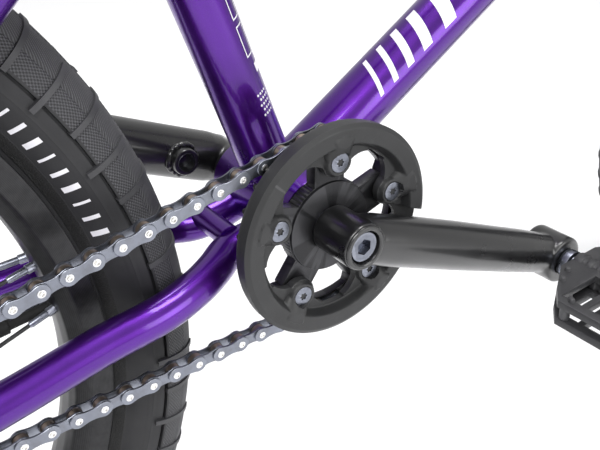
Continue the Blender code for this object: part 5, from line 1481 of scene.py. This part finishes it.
def make_driver():
    """Small cog on the barrel of the driver."""
    teeth = toothed_outline(COG_TEETH, REAR_AXLE, seated_pin_angle(REAR_AXLE, COG_TEETH))
    plate = prism(teeth, CHAIN_Y - 1.3 * MM, CHAIN_Y + 1.3 * MM, 0.4 * MM)
    barrel = lathe([(-36.0, 7.5), (-36.0, 12.6), (-48.0, 12.2), (-48.0, 7.5)], REAR_AXLE, segments=64)
    bore = right_bore(REAR_AXLE, 7.4 * MM, 40)
    finish_piece("driver_cog_fine", carved(plate, [bore], [barrel], 0.2 * MM), "dark_steel", "driver",
                 ["driver_cog"])


# ------------------------------------------------------------------ steering
SLOT_HALF = 5.3 * MM
STEM_CENTRE = 467.0   # along the steering axis, in millimetres
STEM_REACH = 50.0     # forward of it, to the handlebar


def make_fork():
    """Steerer with its crown, and two tapered legs with slotted ends."""
    crown = [(286.0, 16.8), (306.0, 19.4), (314.0, 20.4), (320.3, 20.0)]
    profile = crown + [(320.5, 14.3), (484.0, 14.3)]
    piece("steerer_fine", lathe(profile, steer(0.0), STEER_UP, closed=False), "enamel", "steering",
          ["steerer"])
    for side, word in SIDES:
        knots = [(303, 0, 6), (300, 0, 26), (291, 1, 41), (268, 2.5, 49), (230, 5, 50.6), (130, 12, 52),
                 (45, 22, 53), (22, 26, 53)]
        path = flowing([steer(s, o, side * y) for s, o, y in knots])
        count = len(path) - 1
        radii = [(14.4 - 6.2 * (i / count) ** 1.5) * MM for i in range(len(path))]
        leg = sweep(path, radii, 48)
        outline = [around(FRONT_AXLE, 13.4 * MM, math.radians(180.0 + 190.0 * k / 24.0)) for k in range(25)]
        top = steer(34.0, 25.0)
        outline += [(top.x + 7.5 * MM, top.z), (top.x - 7.5 * MM, top.z - 4.0 * MM)]
        low, high = sorted((side * 50.0 * MM, side * 56.0 * MM))
        plate = prism(outline, low, high)
        slot = [around(FRONT_AXLE, SLOT_HALF, math.pi * k / 12.0) for k in range(13)]
        slot += [(FRONT_AXLE.x - SLOT_HALF, FRONT_AXLE.z - 0.03),
                 (FRONT_AXLE.x + SLOT_HALF, FRONT_AXLE.z - 0.03)]
        gap = prism(slot, low - 0.01, high + 0.01)
        foot = lathe([(250.0, 17.0), (330.0, 21.0)], steer(0.0), STEER_UP, 48, False, 0.0)
        mesh = carved(leg, [gap, foot], [plate], 0.5 * MM)
        finish_piece("fork_leg_fine_" + word, mesh, "enamel", "steering", ["fork_leg_" + word])
    weld_bm = bmesh.new()
    for side in (-1, 1):
        weld(weld_bm, steer(301.0, 0.0, side * 8.0), (side * LEFT - 0.08 * STEER_UP).normalized(), 14.0 * MM,
             STEER_FOOT, STEER_UP, 18.6 * MM, 1.8 * MM)
    piece("fork_welds", weld_bm, "enamel", "steering")


def make_headset():
    """Dust cap below the stem and the two bearings."""
    start = HEAD_END + 0.5
    top = STEM_CENTRE - 16.3
    profile = [(start, 14.6), (start, 21.8), (start + 2.0, 22.0), (start + 3.0, 20.8), (top - 1.5, 18.6),
               (top, 18.2), (top, 14.6)]
    piece("headset_dust_cap_fine", lathe(profile, steer(0.0), STEER_UP), "alloy", "steering",
          ["headset_dust_cap"])
    for name, low, high in (("lower", HEAD_START + 0.3, HEAD_START + 6.9),
                            ("upper", HEAD_END - 6.9, HEAD_END - 0.3)):
        ring = lathe([(low, 14.8), (low, 20.6), (high, 20.6), (high, 14.8)], steer(0.0), STEER_UP)
        piece("headset_bearing_fine_" + name, ring, "dark_steel", "frame",
              ["headset_bearing_" + name])


def make_stem():
    """Clamp on the steerer, face plate on the bar, six bolts and the top cap."""
    axes = (STEER_FORWARD, LEFT, STEER_UP)
    bar = steer(STEM_CENTRE, STEM_REACH)
    ring = lathe([(STEM_CENTRE - 16.0, 14.6), (STEM_CENTRE - 16.0, 20.0), (STEM_CENTRE + 16.0, 20.0),
                  (STEM_CENTRE + 16.0, 14.6)], steer(0.0), STEER_UP)
    reach = box_mesh(steer(STEM_CENTRE, 0.5 * (STEM_REACH + 15.5)), axes, (34.0 * MM, 36.0 * MM, 30.0 * MM))
    head = box_mesh(steer(STEM_CENTRE, STEM_REACH - 9.0), axes, (17.4 * MM, 52.0 * MM, 36.0 * MM))
    bore = across_bar(bar, 0.04, 11.4 * MM)
    split = box_mesh(steer(STEM_CENTRE, -20.0), axes, (16.0 * MM, 2.0 * MM, 60.0 * MM))
    window = box_mesh(steer(STEM_CENTRE, 31.0), axes, (14.0 * MM, 18.0 * MM, 60.0 * MM))
    finish_piece("stem_body_fine", carved(ring, [bore, split, window], [reach, head], 1.0 * MM), "alloy",
                 "steering", ["stem_body"])
    plate = box_mesh(steer(STEM_CENTRE, STEM_REACH + 8.4), axes, (16.0 * MM, 51.6 * MM, 35.6 * MM))
    bore = across_bar(bar, 0.04, 11.4 * MM)
    window = box_mesh(steer(STEM_CENTRE, STEM_REACH + 14.0), axes, (20.0 * MM, 18.0 * MM, 17.0 * MM))
    finish_piece("stem_face_plate_fine", carved(plate, [bore, window], [], 1.0 * MM), "alloy", "steering",
                 ["stem_face_plate"])
    for count, (side, lift) in enumerate(((-1, -1), (-1, 1), (1, -1), (1, 1)), 1):
        place = steer(STEM_CENTRE + lift * 13.2, STEM_REACH + 14.6, side * 19.0)
        socket_bolt("stem_face_bolt_%d" % count, place - 1.6 * MM * STEER_FORWARD, STEER_FORWARD, 3.4, 2.0,
                    16.0, "steering")
    for count, lift in enumerate((-8.0, 8.0), 1):
        place = steer(STEM_CENTRE + lift, -16.5, -9.0)
        socket_bolt("stem_pinch_bolt_%d" % count, place, -LEFT, 3.4, 2.0, 14.0, "steering")
    cap = lathe([(STEM_CENTRE + 12.0, 13.9), (STEM_CENTRE + 15.6, 13.9), (STEM_CENTRE + 16.4, 17.2),
                 (STEM_CENTRE + 17.4, 16.6)], steer(0.0), STEER_UP, 64, False)
    piece("top_cap", cap, "alloy", "steering")


def bar_point(y, height, back):
    """Point on the handlebar, in millimetres from the middle of its clamp."""
    return steer(STEM_CENTRE + height, STEM_REACH - back, y)


def make_handlebar():
    """High-rise bar with a crossbar, welds, grips and end plugs."""
    bar_radius, cross_radius = 11.1 * MM, 8.0 * MM
    knots = [(0.0, 0.0, 0.0), (42.0, 0.0, 0.0), (62.0, 6.0, 0.0), (78.0, 22.0, 0.0), (121.0, 104.0, 0.0),
             (164.0, 186.0, 0.5), (182.0, 212.0, 2.0), (207.0, 224.5, 4.5), (232.0, 226.5, 7.0),
             (300.0, 227.7, 16.4), (368.0, 229.0, 26.0)]
    left = [bar_point(*knot) for knot in knots]
    path = flowing(list(reversed(mirrored(left, -1))) + left[1:], 10)
    bar = sweep(path, bar_radius, 40)
    cross = sweep([bar_point(-144.0, 150.0, 0.2), bar_point(144.0, 150.0, 0.2)], cross_radius, 36)
    finish_piece("handlebar_fine", carved(bar, [], [cross]), "enamel", "steering",
                 ["handlebar"])
    upright = (bar_point(164.0, 186.0, 0.5) - bar_point(121.0, 104.0, 0.0)).normalized()
    bm = bmesh.new()
    for side in (-1, 1):
        axis = Vector((upright.x, side * upright.y, upright.z))
        weld(bm, bar_point(side * 144.0, 150.0, 0.2), -side * LEFT, cross_radius,
             bar_point(side * 121.0, 104.0, 0.0), axis, bar_radius, 1.5 * MM)
    piece("handlebar_welds", bm, "enamel", "steering")
    inner, end = left[-3], left[-1]
    for side, word in SIDES:
        axis = (end - inner).normalized()
        axis = Vector((axis.x, side * axis.y, axis.z))
        tip = Vector((end.x, side * end.y, end.z))
        profile = [(-136.0, 11.5), (-136.0, 17.2), (-132.6, 17.6), (-131.4, 15.2)]
        for k in range(30):
            y = -128.0 + 4.2 * k
            profile += [(y, 14.2), (y + 0.6, 15.4), (y + 2.4, 15.4), (y + 3.0, 14.2)]
        profile += [(0.5, 15.4), (0.5, 11.5)]
        piece("grip_fine_" + word, lathe(profile, tip, axis, 56, soft=0.2 * MM), "grip", "steering",
              ["grip_" + word])
        plug = lathe([(-8.0, 9.5), (0.2, 9.5), (0.6, 15.2), (4.6, 14.6), (6.0, 12.0)], tip, axis, 56, False)
        piece("bar_end_" + word, plug, "pedal", "steering")


# ------------------------------------------------------------------ seat
SEAT_NOSE_UP = math.radians(9.0)
SEAT_FORWARD = Vector((math.cos(SEAT_NOSE_UP), 0.0, math.sin(SEAT_NOSE_UP)))
SEAT_NORMAL = Vector((-math.sin(SEAT_NOSE_UP), 0.0, math.cos(SEAT_NOSE_UP)))
SEAT_LENGTH = 262.0   # millimetres
TAIL_HALF, NOSE_HALF = 69.0, 17.0


def seat_half_width(share):
    """Half width in millimetres from the tail (0) to the nose (1)."""
    blend = smoothstep(0.20, 0.80, share)
    width = TAIL_HALF + (NOSE_HALF - TAIL_HALF) * blend
    ends = min(share / 0.16, (1.0 - share) / 0.07, 1.0)
    return width * (0.22 + 0.78 * math.sqrt(max(ends, 0.0)))


def seat_spot(share, across, height, shrink=1.0):
    """Point of the seat: share from tail to nose, across from -1 to 1, height in millimetres."""
    along = (share - 0.46) * SEAT_LENGTH * (0.98 + 0.02 * shrink)
    crown = 7.0 * (1.0 - 0.35 * share) + 8.0 * (2.0 * share - 1.0) ** 2
    lift = height + crown * (1.0 - 0.5 * across ** 2) * shrink
    half = seat_half_width(share) * shrink
    return SEAT_PIVOT + MM * (along * SEAT_FORWARD + across * half * LEFT + lift * SEAT_NORMAL)


def seat_form(levels):
    """Closed form from stacked outlines; levels are (height, shrink)."""
    rows, columns = 36, 18
    bm = bmesh.new()
    sheets = []
    for height, shrink in (levels[0], levels[-1]):
        sheet = []
        for i in range(rows + 1):
            row = []
            for j in range(columns + 1):
                across = math.sin(0.5 * math.pi * (2.0 * j / columns - 1.0))
                row.append(bm.verts.new(seat_spot(i / rows, across, height, shrink)))
            sheet.append(row)
        sheets.append(sheet)
        for a, b in zip(sheet, sheet[1:]):
            for j in range(columns):
                bm.faces.new((a[j], a[j + 1], b[j + 1], b[j]))

    def border(sheet):
        loop = [row[0] for row in sheet] + sheet[-1][1:]
        return loop + [row[-1] for row in reversed(sheet[:-1])] + list(reversed(sheet[0][1:-1]))

    edges = [border(sheets[0]), border(sheets[1])]
    previous = edges[0]
    for height, shrink in levels[1:-1]:
        ring = []
        for low, high in zip(*edges):
            share = (height - levels[0][0]) / (levels[-1][0] - levels[0][0])
            spot = low.co.lerp(high.co, share)
            middle = seat_spot(0.4, 0.0, height)
            flat = spot - middle
            ring.append(bm.verts.new(middle + flat * shrink))
        loop_faces(bm, previous, ring)
        previous = ring
    loop_faces(bm, previous, edges[1])
    return bm


def inflate(thing, cap):
    """Swell the cushion's cover with air pressure, then keep each point within a cap of its start."""
    remesh = thing.modifiers.new("even", "REMESH")
    remesh.mode = "VOXEL"
    remesh.voxel_size = 4.5 * MM
    mesh = evaluated(thing)
    cushion = bpy.data.objects.new("cushion", mesh)
    bpy.context.scene.collection.objects.link(cushion)
    start = [v.co.copy() for v in mesh.vertices]
    pins = cushion.vertex_groups.new(name="base")
    pinned_below, last_frame = 20.5 * MM, 20
    for v in mesh.vertices:
        if (v.co - SEAT_PIVOT).dot(SEAT_NORMAL) < pinned_below:
            pins.add([v.index], 1.0, "REPLACE")
    cloth = cushion.modifiers.new("cover", "CLOTH")
    cloth.settings.quality = 5   # steps per frame
    cloth.settings.use_pressure = True
    cloth.settings.uniform_pressure_force = 4.0
    cloth.settings.effector_weights.gravity = 0.0
    cloth.settings.vertex_group_mass = "base"
    cloth.settings.tension_stiffness = 12.0
    scene = bpy.context.scene
    for number in range(1, last_frame + 1):
        scene.frame_set(number)
    graph = bpy.context.evaluated_depsgraph_get()
    swollen = [v.co.copy() for v in cushion.evaluated_get(graph).data.vertices]
    cushion.modifiers.clear()
    scene.frame_set(1)
    for v, before, after in zip(mesh.vertices, start, swollen):
        step = after - before
        if step.length > cap:
            step *= cap / step.length
        v.co = before + step
    return cushion


def make_seat():
    """Padded cover over a plastic base, on a pivot between two cheeks."""
    levels = [(19.6, 0.93), (24.0, 0.985), (30.0, 1.0), (34.5, 0.94), (36.0, 0.86)]
    cushion = inflate(solid_of(seat_form(levels), "cushion_start"), 4.5 * MM)
    smooth = cushion.modifiers.new("soft", "SMOOTH")
    smooth.iterations = 6
    subdivide = cushion.modifiers.new("fine", "SUBSURF")
    subdivide.levels = 1
    subdivide.render_levels = 1
    mesh = evaluated(cushion)
    pad = finish_piece("seat_cushion", mesh, "canvas", "seat", ["seat_pad"], 60.0)
    edge = [seat_spot(i / 60.0, -1.0, 22.4, 0.985) for i in range(61)]
    edge += [seat_spot(i / 60.0, 1.0, 22.4, 0.985) for i in range(60, -1, -1)]
    piece("seat_piping", sweep(edge + edge[:1], 1.5 * MM, 10), "thread", "seat")
    base = seat_form([(14.2, 0.88), (16.0, 0.94), (18.8, 0.96)])
    axes = (SEAT_FORWARD, LEFT, SEAT_NORMAL)
    cheeks = box_mesh(SEAT_PIVOT + 5.0 * MM * SEAT_NORMAL, axes, (30.0 * MM, 40.0 * MM, 26.0 * MM))
    room = box_mesh(SEAT_PIVOT - 4.0 * MM * SEAT_NORMAL, axes, (60.0 * MM, 28.8 * MM, 34.6 * MM))
    bore = across_bar(SEAT_PIVOT, 0.05, 4.3 * MM, 24)
    finish_piece("seat_shell_fine", carved(base, [room, bore], [cheeks], 0.8 * MM), "pedal", "seat",
                 ["seat_shell"])
    bm = lathe([(-24.0, 6.4), (-23.4, 7.0), (-20.3, 7.0), (-20.3, 4.0), (20.3, 4.0), (20.3, 7.0), (23.4, 7.0),
                (24.0, 6.4)], SEAT_PIVOT, closed=False, segments=40, soft=0.2 * MM)
    keys = [lathe(sided(side, [(21.5, 3.5), (30.0, 3.5)]), SEAT_PIVOT, LEFT, 6, False, 0.0)
            for side, _ in SIDES]
    finish_piece("seat_pivot_bolt_fine", carved(bm, keys), "steel", "seat", ["seat_pivot_bolt"])
    line = [BB + 105.0 * MM * SEAT_UP, SEAT_PIVOT - 7.0 * MM * SEAT_UP]
    head = lathe([(-14.0, 11.0), (14.0, 11.0)], SEAT_PIVOT, closed=False, segments=64, soft=0.0)
    bore = across_bar(SEAT_PIVOT, 0.05, 4.3 * MM, 24)
    finish_piece("seat_post_fine", carved(sweep(line, 12.7 * MM, 64), [bore], [head], 0.4 * MM), "alloy",
                 "seat_mast", ["seat_post"])


# ------------------------------------------------------------------ studio
def make_studio():
    """Pale floor, white surroundings and soft boxes; make_camera puts the camera beside the rear wheel."""
    bm = bmesh.new()
    bmesh.ops.create_grid(bm, x_segments=1, y_segments=1, size=12.0)
    mesh = bpy.data.meshes.new("floor")
    bm.to_mesh(mesh)
    bm.free()
    floor = bpy.data.objects.new("floor", mesh)
    bpy.context.scene.collection.objects.link(floor)
    paper = Shader("pale_paper", (0.93, 0.93, 0.94), 0.8)
    paper.colour(paper.mix(paper.spread(paper.noise(3.0), 0.3, 0.7), (0.92, 0.92, 0.93), (0.95, 0.95, 0.96)))
    mesh.materials.append(paper.material)
    world = bpy.context.scene.world or bpy.data.worlds.new("studio")
    bpy.context.scene.world = world
    world.use_nodes = True
    sky = world.node_tree.nodes["Background"]
    sky.inputs["Color"].default_value = (1.0, 1.0, 1.0, 1.0)
    sky.inputs["Strength"].default_value = 0.70
    bpy.context.scene.view_settings.view_transform = "Standard"
    for name, offset, size, power in (("key", (-0.9, -1.1, 1.7), (1.2, 0.8), 34.0),
                                      ("top", (0.5, 0.1, 1.9), (1.6, 0.5), 30.0),
                                      ("fill", (0.9, -1.8, 0.5), (1.0, 1.0), 14.0)):
        light = bpy.data.lights.new(name, "AREA")
        light.shape = "RECTANGLE"
        light.size, light.size_y = size
        light.energy = power
        lamp = bpy.data.objects.new(name, light)
        bpy.context.scene.collection.objects.link(lamp)
        lamp.location = BB + Vector(offset)
        lamp.rotation_euler = (BB - lamp.location).to_track_quat("-Z", "Y").to_euler()


# the camera that fits the photo, from the bottom bracket
CAMERA_OFFSET = Vector((-211.9, -313.29, 194.99)) * MM
CAMERA_RIGHT = Vector((0.80376, -0.59455, -0.02166))
CAMERA_DOWN = Vector((-0.30952, -0.38678, -0.86868))
CAMERA_FORWARD = Vector((0.50810, 0.70492, -0.49491))


def make_camera():
    """The photo's viewpoint and field of view."""
    data = bpy.data.cameras.new("camera")
    data.sensor_width = 36.0
    data.lens = 45.08
    data.clip_start = 0.01
    camera = bpy.data.objects.new("camera", data)
    bpy.context.scene.collection.objects.link(camera)
    turn = Matrix((CAMERA_RIGHT, -CAMERA_DOWN, -CAMERA_FORWARD)).transposed()
    camera.matrix_world = Matrix.Translation(BB + CAMERA_OFFSET) @ turn.to_4x4()
    bpy.context.scene.camera = camera


make_camera()
make_studio()
make_main_tubes()
make_welds()
make_stays()
make_dropouts()
make_graphics()
make_seat_clamp()
make_axle_set("rear", REAR_AXLE, "frame", 7.0, 78.0, 55.0, 21.0, 10.0)
make_axle_set("front", FRONT_AXLE, "steering", 5.0, 71.0, 50.0, 15.0, 8.0)
for wheel, axle, flange, flange_size, width, bore_size, barrel_size in (
        ("rear", REAR_AXLE, 29.0, 31.0, 35.0, 7.3, 17.0), ("front", FRONT_AXLE, 34.0, 28.0, 46.0, 5.3, 13.5)):
    make_tyre(wheel, axle, wheel + "_wheel")
    make_rim(wheel, axle, wheel + "_wheel")
    make_spokes(wheel, axle, wheel + "_wheel", flange, flange_size)
    make_hub(wheel, axle, wheel + "_wheel", width, bore_size, flange, flange_size, barrel_size)
make_chain()
make_sprocket()
make_guard()
make_spindle()
for crank_side, crank_word in SIDES:
    make_crank_arm(crank_side, crank_word)
    make_pedal(crank_side, crank_word)
make_spare_boss()
make_driver()
make_fork()
make_headset()
make_stem()
make_handlebar()
make_seat()
